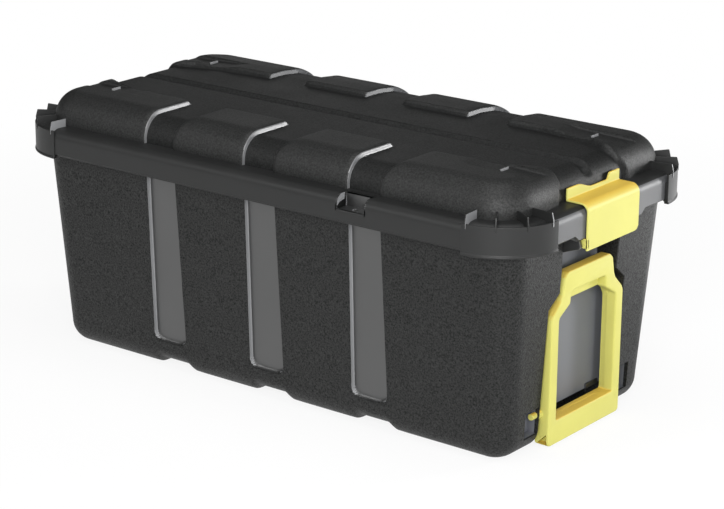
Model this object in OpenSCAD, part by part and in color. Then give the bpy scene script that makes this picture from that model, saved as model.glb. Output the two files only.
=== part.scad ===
/* [Tub] */
// Length of the tub across the end walls at floor level
tub_length = 892; // [700:2:1100]
// Width of the tub across the long walls at floor level
tub_width = 396; // [330:2:480]
// Height of the flat top of the tub's rim
tub_height = 376; // [300:1:480]
// Lean of the end walls away from upright, in degrees
end_lean = 3.2; // [2:0.1:4]
// Lean of the long walls away from upright, in degrees
side_lean = 2.9; // [2:0.1:4]
// Radius of the upright corners of the tub
tub_corner_r = 42; // [40:1:60]
// Radius round the bottom edge of the tub
tub_bottom_r = 36; // [26:1:40]
// Thickness of the moulded walls
wall = 3; // [2:0.5:4]

/* [Panels and grooves] */
// Distance from one groove to the next along the trunk
groove_pitch = 202; // [170:1:230]
// Width of a groove at the rim and of a valley in the lid
groove_top_w = 58; // [40:1:70]
// Width of a groove at its foot
groove_foot_w = 68; // [45:1:80]
// Depth of the grooves in the long walls
groove_depth = 7; // [4:0.5:12]
// Height of the foot of each groove above the floor
groove_foot_z = 48; // [40:1:90]
// Radius of the lower corners of a groove
groove_corner_r = 18; // [8:1:22]
// Height of the channels under the tub, between its four feet
channel_rise = 9; // [4:0.5:12]

/* [Rim] */
// How far the lid's skirt stands out from the top of the end walls
end_overhang = 26.5; // [24:0.5:40]
// How far the lid's skirt stands out from the top of the long walls
side_overhang = 31.5; // [28:0.5:45]
// Radius of the skirt's corners
rim_corner_r = 95; // [84:1:98]
// Thickness of the lid's flange and skirt
lid_wall = 3; // [2:0.5:4]
// Height of the skirt, from its lower edge to the top of the flange
skirt_h = 40; // [30:1:60]
// Extra depth of the skirt beside each clip
skirt_drop = 8; // [4:1:12]
// Half width of the deep part of the skirt beside a clip
skirt_drop_half = 86; // [82:1:100]
// Radius along the skirt's top edge
skirt_round = 15; // [6:1:18]
// How far the tub's rim hangs below the skirt
lip_show = 3; // [1:0.5:6]
// Gap between the skirt and the tub's rim, and under the flange
rim_gap = 0.5; // [0.3:0.1:1.5]

/* [Lid crown] */
// Distance from the skirt in to the crown's foot at the ends
crown_in_end = 37.5; // [36:0.5:50]
// Distance from the skirt in to the crown's foot at the long sides
crown_in_side = 35.5; // [34:0.5:50]
// Radius of the crown's corners
crown_corner_r = 56; // [40:1:70]
// Height of the valleys above the flange
crown_rise = 42; // [25:1:60]
// Radius of the crown's shoulder
crown_round = 36; // [20:1:40]
// How far the raised pads stand out from the valleys
pad_rise = 10; // [4:0.5:16]
// Half width of the flat band down the middle of the lid
band_half = 105; // [90:1:130]
// Half width of the flat band at the ends of the crown
band_end_half = 77; // [76:1:90]
// Length over which the band narrows towards each end
band_taper = 130; // [80:1:150]
// Width of the groove down the middle of the lid
spine_w = 28; // [14:1:50]
// Depth of the groove down the middle of the lid
spine_depth = 9; // [3:0.5:12]
// Depth of the stacking seats in the four corner pads
seat_depth = 7; // [3:0.5:9]
// Length of the stacking seats, in from the crown's foot
seat_length = 138; // [80:1:160]
// Distance of the stacking seats from the middle line
seat_y = 121; // [110:1:130]
// Width of the stacking seats
seat_w = 44; // [30:1:50]
// Distance of the stop in each seat from the crown's foot
stop_in = 71; // [50:1:76]
// Length of the stops across their seats
stop_len = 20; // [10:1:28]
// Height of the stops above the floor of their seats
stop_rise = 3; // [2:0.5:4]

/* [Corner guards] */
// Outer radius of the corner guards
guard_r = 101; // [98:1:106]
// How far the guards stand out from the end skirt
guard_out_end = 7.5; // [5:0.5:10]
// How far the guards stand out from the side skirt
guard_out_side = 3; // [2:0.5:5]
// Height of the guards
guard_h = 46; // [40:1:60]
// Thickness of the ribs behind the guards
rib_t = 2.5; // [1.5:0.5:4]
// Height of the ribs above the flange
rib_rise = 13; // [6:1:20]

/* [Padlock point] */
// Width of the notch over a padlock hole
notch_w = 50; // [30:1:56]
// Depth of the notch in from the skirt
notch_in = 24; // [18:1:30]
// Height of the notch floor above the skirt's lower edge
notch_z = 18; // [12:1:24]
// Radius of the padlock hole
lock_hole_r = 4; // [3:0.5:6]

/* [Clips] */
// Width of a clip
clip_w = 141; // [100:1:150]
// Thickness of the clip's plate
clip_t = 3.5; // [2.5:0.5:4]
// Gap between the clip and the lid
clip_gap = 1; // [0.5:0.1:2]
// Reach of the clip's upper arm in over the lid
clip_reach = 40; // [30:1:41]
// How far the clip hangs below the skirt's foot
clip_hang = 27.5; // [22:0.5:34]
// Height of the grip ridge on the clip
grip_h = 20; // [12:1:26]
// Radius of the hinge bar that the clip snaps round
clip_bar_r = 3; // [2:0.5:4]
// Running clearance of the clip on its bar
clip_play = 0.1; // [0.05:0.01:0.1]
// Distance of the hinge bar in from the skirt's face
clip_bar_in = 8; // [7:0.5:12]

/* [Tow handle] */
// Distance from the tub's flat top down to the top of the handle
handle_drop = 106; // [96:1:140]
// How far the handle's front face stands out from the foot of the end wall
handle_out = 14; // [10:0.5:18]
// Depth of the handle's legs
leg_depth = 25; // [18:0.5:27]
// Depth of the grip at the top of the handle
grip_depth = 18; // [12:0.5:24]
// Half width of the handle across its legs
handle_half = 98; // [80:1:99]
// Half width of the handle at its grip
handle_neck = 66; // [50:1:70]
// Width of the handle's legs
leg_w = 20; // [12:1:26]
// Height of the bar across the bottom of the handle
foot_bar_h = 38; // [30:1:40]
// Radius of the pivot pegs
peg_r = 5; // [4:0.5:7]
// Running clearance of the pegs in the tub
peg_play = 0.1; // [0.05:0.01:0.1]
// Gap between the handle and its recess
handle_gap = 5.5; // [3:0.5:8]

/* [Wheels] */
// Radius of the wheels
wheel_r = 32; // [24:1:36]
// Width of the wheels
wheel_w = 24; // [16:1:30]
// Distance of the wheels from the middle line
wheel_y = 134; // [120:1:140]
// Height of the wheels above the floor when the trunk stands flat
wheel_lift = 1; // [0.5:0.5:4]
// Radius of the wheel axles
axle_r = 4; // [3:0.5:6]
// Running clearance of the wheels on their axles
axle_play = 0.1; // [0.05:0.01:0.1]
// Gap round each wheel in its arch
wheel_gap = 4; // [3:0.5:8]

/* [Hidden] */

BLACK = [0.16, 0.165, 0.165];
YELLOW = [0.90, 0.87, 0.42];
STEEL = [0.62, 0.63, 0.65];
smooth = 96;
hull_fn = 32;
eps = 0.5;
far = 300;
ends = [-1, 1];

// Outlines and levels of the lid's flange and of what hangs from it
rim_x = end_at(tub_height) + end_overhang;
rim_y = side_at(tub_height) + side_overhang;
crown_x = rim_x - crown_in_end;
crown_y = rim_y - crown_in_side;
flange_top = tub_height + rim_gap + lid_wall;
skirt_foot = flange_top - skirt_h;
lip_foot = skirt_foot - lip_show;
lip_out = lid_wall + rim_gap;
crown_top = flange_top + crown_rise;
pad_top = crown_top + pad_rise;
pad_out = 7;
band_slope = 7;
guard_x = rim_x + guard_out_end - guard_r;
guard_y = rim_y + guard_out_side - guard_r;
guard_top = flange_top - 1;
guard_foot = guard_top - guard_h;
rib_angles = [6, 31, 58, 85];
rib_in = 45;
notch_floor = skirt_foot + notch_z;
lock_in = notch_in / 2;
pan_wall = lid_wall + rim_gap;
stop_t = 3;
grip_w = 26;

// The tow handle's pivot, its recess and the well below it
handle_front = tub_length / 2 + handle_out;
handle_top = tub_height - handle_drop;
handle_back = handle_front - leg_depth;
pivot_x = handle_back + peg_r;
pivot_z = 55;
recess_x = handle_back - 13;
recess_half = handle_half + handle_gap;
recess_neck = handle_neck + 2 * handle_gap;
recess_top = tub_height - wall - 1;
recess_low_shoulder = handle_top - 48;
recess_high_shoulder = handle_top - 28;
foot_low = 5;
foot_top = foot_low + foot_bar_h;
well_z = foot_top + 1;
well_r = norm([handle_front - pivot_x, pivot_z - foot_low]) + 2.5;
handle_low_shoulder = handle_top - 63;
handle_high_shoulder = handle_top - 37;
grip_low = handle_top - 32;
grip_corner = 10;
shoulder_soft = 4;
boss_gap = 0.3;
boss_r = peg_r + 3;
slot_w = 36;
slot_low = 27;
slot_high = 70;
slot_x = tub_length / 2 - 18;
peg_in_slot = 12;
rest_t = 3;
rest_y = 58;
rest_w = 33;
rest_h = 8;

// The clip's hinge
bar_x = rim_x - clip_bar_in;
clip_foot_z = skirt_foot - clip_hang;
bar_z = clip_foot_z + 8;
clip_inner = rim_x + clip_gap;
clip_outer = clip_inner + clip_t;
clip_under = flange_top + clip_gap / 2;
clip_over = clip_under + clip_t;
barrel_in = clip_bar_r + clip_play;
barrel_wall = 2.8;
barrel_out = barrel_in + barrel_wall;
barrel_lip = 2;
barrel_w = 30;
barrel_pitch = 50;
cheek_y = clip_w / 2 + 3;
cheek_t = 6;
cheek_r = clip_bar_r + 3;
snap_w = 5;

// The wheels
wheel_x = -(tub_length / 2 - 22);
wheel_z = wheel_r + wheel_lift;
arch_half = wheel_w / 2 + wheel_gap;
arch_r = wheel_r + wheel_gap;
boss_len = 8;
head_r = axle_r + 2.5;
head_t = 2;
hub_wall = 5;
tread_t = 8;
tread_round = 2;

// How far out the leaning walls are at a height
function end_at(z) = tub_length / 2 + z * tan(end_lean);
function side_at(z) = tub_width / 2 + z * tan(side_lean);

// A profile carried once round a rectangle with round corners; its first
// coordinate is the distance out from the corner centres
module round_rect_sweep(hx, hy, r) {
    cx = hx - r;
    cy = hy - r;
    for (side = [0, 1]) {
        mirror([0, side, 0]) translate([-cx, cy, 0])
            rotate([90, 0, 90]) linear_extrude(2 * cx) children();
        mirror([side, 0, 0]) translate([cx, cy, 0])
            rotate([90, 0, 0]) linear_extrude(2 * cy) children();
    }
    for (sx = [0, 1], sy = [0, 1])
        mirror([sx, 0, 0]) mirror([0, sy, 0]) translate([cx, cy, 0])
            rotate_extrude(angle = 90, $fn = smooth) children();
}

// A solid rectangle with round corners between two heights
module round_block(hx, hy, r, low, top) {
    translate([0, 0, low])
        linear_extrude(top - low) {
            square([2 * (hx - r), 2 * hy], center = true);
            square([2 * hx, 2 * (hy - r)], center = true);
            for (sx = ends, sy = ends)
                translate([sx * (hx - r), sy * (hy - r)]) circle(r, $fn = smooth);
        }
}

// A disc with a rounded upper edge, for the corners of rounded forms
module half_knob(r, edge) {
    rotate_extrude($fn = hull_fn)
        intersection() {
            translate([r - edge, 0]) circle(edge, $fn = hull_fn);
            square([r, edge]);
        }
}

// A solid rectangle with round corners and a rounded edge round its top
module soft_top(hx, hy, r, edge, low, top) {
    hull() {
        for (sx = ends, sy = ends) {
            translate([sx * (hx - r), sy * (hy - r), low])
                cylinder(h = eps, r = r, $fn = hull_fn);
            translate([sx * (hx - r), sy * (hy - r), top - edge])
                half_knob(r, edge);
        }
    }
}

// A hooked profile: a flat flange that turns down into a skirt
module flange_profile(out, top, edge, thick, foot) {
    turn = top - edge;
    translate([0, top - thick]) square([out - edge, thick]);
    translate([out - thick, foot]) square([thick, turn - foot]);
    intersection() {
        translate([out - edge, turn])
            difference() {
                circle(edge, $fn = smooth);
                circle(edge - thick, $fn = smooth);
            }
        translate([out - edge, turn]) square(edge);
    }
}

// Space below a skirt's foot, except at the corners and beside the clips
module above_shallow_foot(foot) {
    low = foot - skirt_drop - eps;
    for (side = [0, 1]) {
        mirror([0, side, 0])
            translate([-guard_x, guard_y, low]) cube([2 * guard_x, far, skirt_drop + eps]);
        for (sy = [0, 1])
            mirror([side, 0, 0]) mirror([0, sy, 0])
                translate([guard_x, 0, 0])
                    rotate([90, 0, 90]) linear_extrude(far)
                        polygon([[skirt_drop_half, low], [skirt_drop_half + 10, foot],
                                 [guard_y, foot], [guard_y, low]]);
    }
}

// Space over a padlock hole, in from each long side
module notch_space(low, grow) {
    for (turn = [0, 180])
        rotate([0, 0, turn])
            translate([groove_pitch - notch_w / 2 - grow, -rim_y - far, low])
                cube([notch_w + 2 * grow, far + notch_in + grow, far]);
}

module lock_holes() {
    for (turn = [0, 180])
        rotate([0, 0, turn])
            translate([groove_pitch, -rim_y + lock_in, notch_floor - 3 * wall])
                cylinder(h = far, r = lock_hole_r, $fn = smooth);
}

// The tub's outer form, drawn in by a wall thickness for its hollow
module tub_form(inset, top) {
    corner = tub_corner_r - inset;
    edge = tub_bottom_r - inset;
    hull() {
        for (sx = ends, sy = ends) {
            translate([sx * (tub_length / 2 - tub_corner_r), sy * (tub_width / 2 - tub_corner_r),
                       tub_bottom_r])
                mirror([0, 0, 1]) half_knob(corner, edge);
            translate([sx * (end_at(top) - tub_corner_r), sy * (side_at(top) - tub_corner_r), top - eps])
                cylinder(h = eps, r = corner, $fn = hull_fn);
        }
    }
}

// Upright outline of one groove: wider at its foot, with round lower corners
module groove_outline(grow, top) {
    half_top = groove_top_w / 2 + grow;
    half_foot = groove_foot_w / 2 + grow;
    low = groove_foot_z - grow;
    r = groove_corner_r;
    polygon([[-half_foot, low + r], [-half_foot + r, low], [half_foot - r, low],
             [half_foot, low + r], [half_top, top], [-half_top, top]]);
    for (s = ends)
        translate([s * (half_foot - r), low + r]) circle(r, $fn = smooth);
}

// Grooves in both long walls, following the lean of the wall
module grooves(grow, top) {
    for (side = [0, 1], i = [-1 : 1])
        mirror([0, side, 0])
            translate([i * groove_pitch, -side_at(0) + groove_depth + grow, 0])
                rotate([90 + side_lean, 0, 0])
                    linear_extrude(far) groove_outline(grow, top);
}

// Channels across the floor of the tub that leave its feet
module channels(grow) {
    flat = groove_top_w / 2 - 4 + grow;
    rise = channel_rise + grow;
    foot = flat + 2 * channel_rise;
    for (i = [-1 : 1])
        translate([i * groove_pitch, far, 0])
            rotate([90, 0, 0])
                linear_extrude(2 * far)
                    polygon([[-foot, grow], [-flat, rise], [flat, rise], [foot, grow],
                             [foot, -far], [-foot, -far]]);
}

// Recess for the tow handle, and the well that the handle's foot swings in
module handle_recess(grow) {
    wide = recess_half + grow;
    neck = recess_neck + grow;
    low = well_z - grow;
    high = recess_top + grow;
    translate([recess_x - grow, 0, 0])
        rotate([90, 0, 90])
            linear_extrude(far)
                polygon([[-wide, low], [wide, low], [wide, recess_low_shoulder],
                         [neck, recess_high_shoulder], [neck, high], [-neck, high],
                         [-neck, recess_high_shoulder], [-wide, recess_low_shoulder]]);
    intersection() {
        translate([pivot_x, wide, pivot_z])
            rotate([90, 0, 0]) cylinder(h = 2 * wide, r = well_r + grow, $fn = smooth);
        translate([0, -wide, -far])
            cube([2 * far, 2 * wide, far + well_z + grow]);
    }
    translate([pivot_x, -wide, -far]) cube([far, 2 * wide, far + well_z + grow]);
}

// Pockets in the end wall that the pivot pegs reach into
module peg_slots(grow) {
    for (s = [0, 1])
        mirror([0, s, 0])
            translate([slot_x - grow, recess_half + wall - grow, slot_low - grow])
                cube([far, slot_w + 2 * grow, slot_high - slot_low + 2 * grow]);
}

module peg_bores() {
    reach = recess_half + wall + eps;
    translate([pivot_x, reach, pivot_z])
        rotate([90, 0, 0]) cylinder(h = 2 * reach, r = peg_r + peg_play, $fn = smooth);
}

// Pads at the foot of the recess, behind the handle's bar
module rest_pads() {
    for (s = [0, 1])
        mirror([0, s, 0])
            translate([recess_x - eps, rest_y, well_z])
                cube([rest_t + eps, rest_w, rest_h]);
}

// Arches at the far end that the wheels turn in
module wheel_arches(grow) {
    side = arch_half + grow;
    reach = arch_r + grow;
    for (s = [0, 1])
        mirror([0, s, 0])
            translate([wheel_x, wheel_y - side, wheel_z]) {
                rotate([-90, 0, 0]) cylinder(h = 2 * side, r = reach, $fn = smooth);
                translate([-far, 0, -far]) cube([far, 2 * side, far + reach]);
                translate([-far, 0, -far]) cube([far + reach, 2 * side, far]);
            }
}

// Sockets beside each wheel arch: the outer one blind, the inner one open
module axle_sockets() {
    for (s = [0, 1], side = ends)
        mirror([0, s, 0])
            translate([wheel_x, wheel_y + side * (arch_half + boss_len / 2), wheel_z])
                rotate([90, 0, 0])
                    cylinder(h = boss_len, r = axle_r + wall, center = true, $fn = smooth);
}

module axle_bores() {
    for (s = [0, 1])
        mirror([0, s, 0])
            translate([wheel_x, wheel_y - arch_half - boss_len - eps, wheel_z])
                rotate([-90, 0, 0])
                    cylinder(h = 2 * arch_half + 2 * boss_len - wall + eps, r = axle_r, $fn = smooth);
}

// Cheeks on an end wall and the bar between them that a clip hangs on
module clip_mount(wall_low, wall_high) {
    low = bar_z - 30;
    high = tub_height - wall;
    lip_x = rim_x - lip_out - 1;
    for (s = [0, 1])
        mirror([0, s, 0])
            translate([0, cheek_y + cheek_t, 0])
                rotate([90, 0, 0])
                    linear_extrude(cheek_t) {
                        translate([bar_x, bar_z]) circle(cheek_r, $fn = smooth);
                        polygon([[wall_low, low], [bar_x - 1, bar_z - cheek_r], [bar_x, bar_z],
                                 [bar_x + cheek_r - 1, bar_z], [lip_x, lip_foot],
                                 [lip_x, high - skirt_round], [wall_high, high + 1]]);
                    }
    translate([bar_x, cheek_y + eps, bar_z])
        rotate([90, 0, 0]) cylinder(h = 2 * (cheek_y + eps), r = clip_bar_r, $fn = smooth);
}

module tub_rim() {
    difference() {
        round_rect_sweep(rim_x, rim_y, rim_corner_r)
            flange_profile(rim_corner_r - lip_out, tub_height, skirt_round - lip_out, wall,
                           lip_foot - skirt_drop);
        above_shallow_foot(lip_foot);
    }
}

// Shelf under each padlock notch, from the rim's lip in to the wall
module notch_shelf() {
    side = notch_w / 2 + pan_wall + wall;
    low = notch_floor - pan_wall - wall;
    outer = -rim_y + lip_out + wall / 2;
    inner = -side_at(low) + groove_depth;
    edge = skirt_round - lip_out;
    high = tub_height - wall / 2;
    for (turn = [0, 180])
        rotate([0, 0, turn])
            translate([groove_pitch - side, 0, 0])
                rotate([90, 0, 90])
                    linear_extrude(2 * side)
                        polygon([[outer, low], [inner, low], [inner, high], [outer + edge, high],
                                 [outer, high - edge]]);
}

module tub() {
    color(BLACK)
    difference() {
        union() {
            difference() {
                union() {
                    difference() {
                        tub_form(0, tub_height);
                        grooves(0, tub_height - wall);
                    }
                    tub_rim();
                }
                difference() {
                    tub_form(wall, tub_height + eps);
                    grooves(wall, tub_height + wall);
                    channels(wall);
                    handle_recess(wall);
                    peg_slots(wall);
                    wheel_arches(wall);
                }
                channels(0);
                handle_recess(0);
                peg_slots(0);
                wheel_arches(0);
            }
            notch_shelf();
            clip_mount(recess_x - 1, recess_x - 1);
            mirror([1, 0, 0]) clip_mount(end_at(bar_z) - wall, end_at(tub_height) - wall);
            axle_sockets();
            rest_pads();
        }
        notch_space(notch_floor - pan_wall, pan_wall);
        lock_holes();
        peg_bores();
        axle_bores();
    }
}

// Outline of the wider part of each end pad, beside the narrowing band
module end_pad_plan(inset) {
    from = crown_x - band_taper;
    to = crown_x - crown_round;
    linear_extrude(pad_top)
        polygon([[from, band_half + band_slope + inset], [to, band_end_half + inset],
                 [far + crown_x, band_end_half + inset], [far + crown_x, far], [from, far]]);
}

// Plan of the raised pads: two rows of four, with a slope down to the band
module pad_plan(inset) {
    inner = groove_pitch - groove_top_w;
    for (s = [0, 1], i = [-1.5 : 1.5]) {
        from = i < -1 ? -2 * far : i * groove_pitch - inner / 2 + inset;
        to = i > 1 ? 2 * far : i * groove_pitch + inner / 2 - inset;
        mirror([0, s, 0])
            translate([from, 0, 0])
                rotate([90, 0, 90])
                    linear_extrude(to - from)
                        polygon([[-far, 0], [-band_half - inset, 0],
                                 [-band_half - inset, crown_top - inset],
                                 [-band_half - inset - band_slope, pad_top], [-far, pad_top]]);
    }
    for (sx = [0, 1], sy = [0, 1])
        mirror([sx, 0, 0]) mirror([0, sy, 0]) end_pad_plan(inset);
}

// The crown with its pads, drawn in by a wall thickness for its hollow
module crown(inset) {
    hx = crown_x - inset;
    hy = crown_y - inset;
    r = crown_corner_r - inset;
    edge = crown_round - inset;
    low = flange_top - lid_wall - inset;
    soft_top(hx, hy, r, edge, low, crown_top - inset);
    intersection() {
        soft_top(hx + pad_out, hy + pad_out, r + pad_out, edge, low, pad_top - inset);
        pad_plan(inset);
    }
}

// Seats for the feet of a trunk stacked on top
module seats(grow) {
    for (turn = [0, 180], y = ends)
        rotate([0, 0, turn])
            translate([crown_x - seat_length - grow, y * seat_y - seat_w / 2 - grow,
                       pad_top - seat_depth - grow])
                cube([far, seat_w + 2 * grow, far]);
}

// Groove along the middle of the lid
module spine(grow) {
    half = spine_w / 2 + grow;
    low = crown_top - spine_depth - grow;
    translate([-2 * far, 0, 0])
        rotate([90, 0, 90])
            linear_extrude(4 * far)
                polygon([[-half, pad_top], [-half, crown_top], [-half + spine_depth / 2, low],
                         [half - spine_depth / 2, low], [half, crown_top], [half, pad_top]]);
}

// Small upright stops across the stacking seats
module seat_stops() {
    floor = pad_top - seat_depth;
    for (turn = [0, 180], y = ends)
        rotate([0, 0, turn])
            translate([crown_x - stop_in - stop_t, y * seat_y - stop_len / 2, floor - 1])
                cube([stop_t, stop_len, stop_rise + 1]);
}

// Floor and walls of the notches over the padlock holes
module notch_pans() {
    side = notch_w / 2 + lid_wall;
    low = notch_floor - lid_wall;
    for (turn = [0, 180])
        rotate([0, 0, turn])
            translate([groove_pitch - side, -rim_y, low])
                cube([2 * side, notch_in + lid_wall, flange_top - low]);
}

// Thickened guards round the corners of the skirt
module guards() {
    difference() {
        for (sx = [0, 1], sy = [0, 1])
            mirror([sx, 0, 0]) mirror([0, sy, 0])
                translate([guard_x, guard_y, guard_foot])
                    rotate_extrude(angle = 90, $fn = smooth)
                        square([guard_r, guard_h]);
        round_block(rim_x - lid_wall, rim_y - lid_wall, rim_corner_r - lid_wall, 0, flange_top);
    }
}

// Ribs from the crown out to each guard, standing on the flange
module ribs() {
    turn = flange_top - skirt_round;
    mid = skirt_round - lid_wall / 2;
    bend = rim_corner_r - skirt_round;
    high = flange_top + rib_rise;
    for (sx = [0, 1], sy = [0, 1])
        mirror([sx, 0, 0]) mirror([0, sy, 0])
            intersection() {
                translate([rim_x - rim_corner_r, rim_y - rim_corner_r, 0])
                    for (a = rib_angles)
                        rotate([90, 0, a]) translate([0, 0, -rib_t / 2])
                            linear_extrude(rib_t)
                                polygon([[rib_in, high], [rib_in, turn + mid], [bend, turn + mid],
                                         [bend + mid * cos(60), turn + mid * sin(60)],
                                         [bend + mid * cos(30), turn + mid * sin(30)],
                                         [bend + mid, turn], [far, turn], [far, high]]);
                translate([guard_x, guard_y, 0]) cylinder(h = 2 * far, r = guard_r, $fn = smooth);
            }
}

module lid() {
    color(BLACK) {
        difference() {
            union() {
                difference() {
                    round_rect_sweep(rim_x, rim_y, rim_corner_r)
                        flange_profile(rim_corner_r, flange_top, skirt_round, lid_wall,
                                       skirt_foot - skirt_drop);
                    above_shallow_foot(skirt_foot);
                }
                guards();
                ribs();
                notch_pans();
                crown(0);
            }
            difference() {
                crown(lid_wall);
                spine(lid_wall);
                seats(lid_wall);
            }
            spine(0);
            seats(0);
            notch_space(notch_floor, 0);
            lock_holes();
        }
        seat_stops();
    }
}

// Section of a clip: plate, bend, arm and grip ridge
module clip_section(ridge) {
    bend = skirt_round - 1;
    difference() {
        union() {
            translate([clip_inner, clip_foot_z]) square([clip_t, clip_over - bend - clip_foot_z]);
            translate([clip_outer - clip_reach, clip_under]) square([clip_reach - bend, clip_t]);
            intersection() {
                translate([clip_outer - bend, clip_over - bend]) circle(bend, $fn = smooth);
                translate([clip_outer - bend, clip_over - bend]) square(bend);
            }
        }
        translate([clip_outer - bend, clip_over - bend]) circle(bend - clip_t, $fn = smooth);
    }
    translate([clip_outer - clip_reach, clip_under]) square([clip_t, ridge]);
}

module clip() {
    color(YELLOW)
    difference() {
        union() {
            translate([0, clip_w / 2, 0]) rotate([90, 0, 0])
                linear_extrude(clip_w) clip_section(grip_h / 2);
            for (y = [-clip_w / 2, clip_w / 2 - grip_w])
                translate([clip_outer - clip_reach, y, clip_under]) cube([clip_t, grip_w, grip_h]);
            for (y = [-barrel_pitch, 0, barrel_pitch])
                translate([0, y + barrel_w / 2, 0]) rotate([90, 0, 0])
                    linear_extrude(barrel_w) {
                        translate([bar_x, bar_z]) circle(barrel_out, $fn = smooth);
                        translate([bar_x, bar_z - barrel_out])
                            square([clip_inner - bar_x + 1, 2 * barrel_out - barrel_lip]);
                    }
        }
        translate([bar_x, far, bar_z])
            rotate([90, 0, 0]) cylinder(h = 2 * far, r = barrel_in, $fn = smooth);
        translate([bar_x - snap_w / 2, -far, bar_z - far]) cube([snap_w, 2 * far, far]);
    }
}

module clip_near() {
    clip();
}

module clip_far() {
    rotate([0, 0, 180]) clip();
}

// A closed outline from its right half
function both_halves(half) =
    concat(half, [for (i = [len(half) - 1 : -1 : 0]) [-half[i][0], half[i][1]]]);

// Front outline of the tow handle, with its opening
module handle_outline() {
    waist = handle_neck + grip_corner / 2;
    leg_in = handle_half - leg_w;
    grip_in = handle_neck - leg_w + 2;
    difference() {
        polygon(both_halves([[handle_half, foot_low], [handle_half, handle_low_shoulder - shoulder_soft],
                             [handle_half - shoulder_soft, handle_low_shoulder + shoulder_soft],
                             [waist + shoulder_soft, handle_high_shoulder - shoulder_soft],
                             [waist, handle_high_shoulder + shoulder_soft],
                             [handle_neck, handle_top - grip_corner],
                             [handle_neck - grip_corner, handle_top]]));
        polygon(both_halves([[leg_in, foot_top], [leg_in, handle_low_shoulder - shoulder_soft],
                             [grip_in, handle_low_shoulder + grip_corner], [grip_in, grip_low]]));
    }
}

module tow_handle() {
    color(YELLOW) {
        difference() {
            translate([handle_back, 0, 0])
                rotate([90, 0, 90]) linear_extrude(leg_depth) handle_outline();
            translate([handle_back - eps, -far, grip_low - shoulder_soft])
                cube([leg_depth - grip_depth + eps, 2 * far, far]);
        }
        for (s = [0, 1])
            mirror([0, s, 0])
                translate([pivot_x, handle_half - eps, pivot_z])
                    rotate([-90, 0, 0]) {
                        cylinder(h = handle_gap - boss_gap + eps, r = boss_r, $fn = smooth);
                        cylinder(h = handle_gap + wall + peg_in_slot + eps, r = peg_r, $fn = smooth);
                    }
    }
}

// Wheel: hub, web and tread turned in one piece
module wheel() {
    half = wheel_w / 2;
    web = half / 2;
    bore = axle_r + axle_play;
    hub = bore + hub_wall;
    tread = wheel_r - tread_t;
    rotate([90, 0, 0])
        rotate_extrude($fn = smooth)
            polygon([[bore, -half], [hub, -half], [hub, -web], [tread, -web], [tread, -half],
                     [wheel_r - tread_round, -half], [wheel_r, -half + tread_round],
                     [wheel_r, half - tread_round], [wheel_r - tread_round, half],
                     [tread, half], [tread, web], [hub, web], [hub, half], [bore, half]]);
}

// Axle pin with its head inside the tub
module axle() {
    tip = 2 * arch_half + 2 * boss_len - wall;
    start = wheel_y - arch_half - boss_len;
    translate([wheel_x, start - head_t, wheel_z])
        rotate([-90, 0, 0]) {
            cylinder(h = head_t, r = head_r, $fn = smooth);
            cylinder(h = head_t + tip - 1, r = axle_r, $fn = smooth);
        }
}

module wheel_front() {
    color(BLACK) translate([wheel_x, -wheel_y, wheel_z]) wheel();
}

module wheel_back() {
    color(BLACK) translate([wheel_x, wheel_y, wheel_z]) wheel();
}

module axle_front() {
    color(STEEL) mirror([0, 1, 0]) axle();
}

module axle_back() {
    color(STEEL) axle();
}

tub();
lid();
clip_near();
clip_far();
tow_handle();
wheel_front();
wheel_back();
axle_front();
axle_back();
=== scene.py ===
import math

import bmesh
import bpy
import numpy as np
from mathutils import Matrix, Vector


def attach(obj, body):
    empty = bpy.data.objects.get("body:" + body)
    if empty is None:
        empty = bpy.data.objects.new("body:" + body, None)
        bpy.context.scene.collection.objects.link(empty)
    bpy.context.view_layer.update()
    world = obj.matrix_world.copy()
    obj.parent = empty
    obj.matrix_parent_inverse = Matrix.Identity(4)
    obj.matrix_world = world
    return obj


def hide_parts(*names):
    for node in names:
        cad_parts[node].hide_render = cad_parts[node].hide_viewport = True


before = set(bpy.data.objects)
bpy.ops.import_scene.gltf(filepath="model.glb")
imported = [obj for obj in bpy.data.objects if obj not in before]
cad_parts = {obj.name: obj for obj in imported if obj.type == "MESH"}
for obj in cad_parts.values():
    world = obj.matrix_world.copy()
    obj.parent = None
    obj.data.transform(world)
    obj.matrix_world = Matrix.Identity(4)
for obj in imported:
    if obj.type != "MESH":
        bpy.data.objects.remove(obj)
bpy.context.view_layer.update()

MM = 0.001
FAR = 1000.0
SHARP, SHARP_SHELL, SHARP_HANDLE, SHARP_CLIP = 35.0, 40.0, 38.0, 50.0

# Tub
TUB_HALF_X, TUB_HALF_Y, TUB_TOP = 446.0, 198.0, 376.0
TUB_CORNER, TUB_EDGE = 42.0, 36.0
END_RISE, SIDE_RISE = 21.0, 19.05
WALL = 3.0
GROOVE_PITCH = 202.0
GROOVES = (-GROOVE_PITCH, 0.0, GROOVE_PITCH)
GROOVE_TOP_HALF, GROOVE_FOOT_HALF = 29.0, 34.0
GROOVE_DEPTH, GROOVE_FOOT = 6.6, 48.0
GROOVE_CORNER, GROOVE_COVE = 18.0, 8.0
CHANNEL_RISE, CHANNEL_SLOPE, CHANNEL_FADE = 9.0, 18.0, 44.0
CORNER_STEPS = 12

# Recess, well and slots at the handle's end
RECESS_X = 422.0
RECESS_WIDE, RECESS_NECK = 103.5, 77.0
RECESS_LOW, RECESS_HIGH = 222.0, 242.0
PIVOT_X, PIVOT_Z = 440.0, 55.0
WELL_Z, WELL_R = 44.0, 56.35
SLOT_IN, SLOT_OUT, SLOT_LOW, SLOT_HIGH, SLOT_X = 3.0, 39.0, 27.0, 70.0, 428.0

# Wheels' end
WHEEL_X, WHEEL_Y, WHEEL_Z = -424.0, 134.0, 33.0
ARCH_HALF, ARCH_R = 16.0, 36.0

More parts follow.
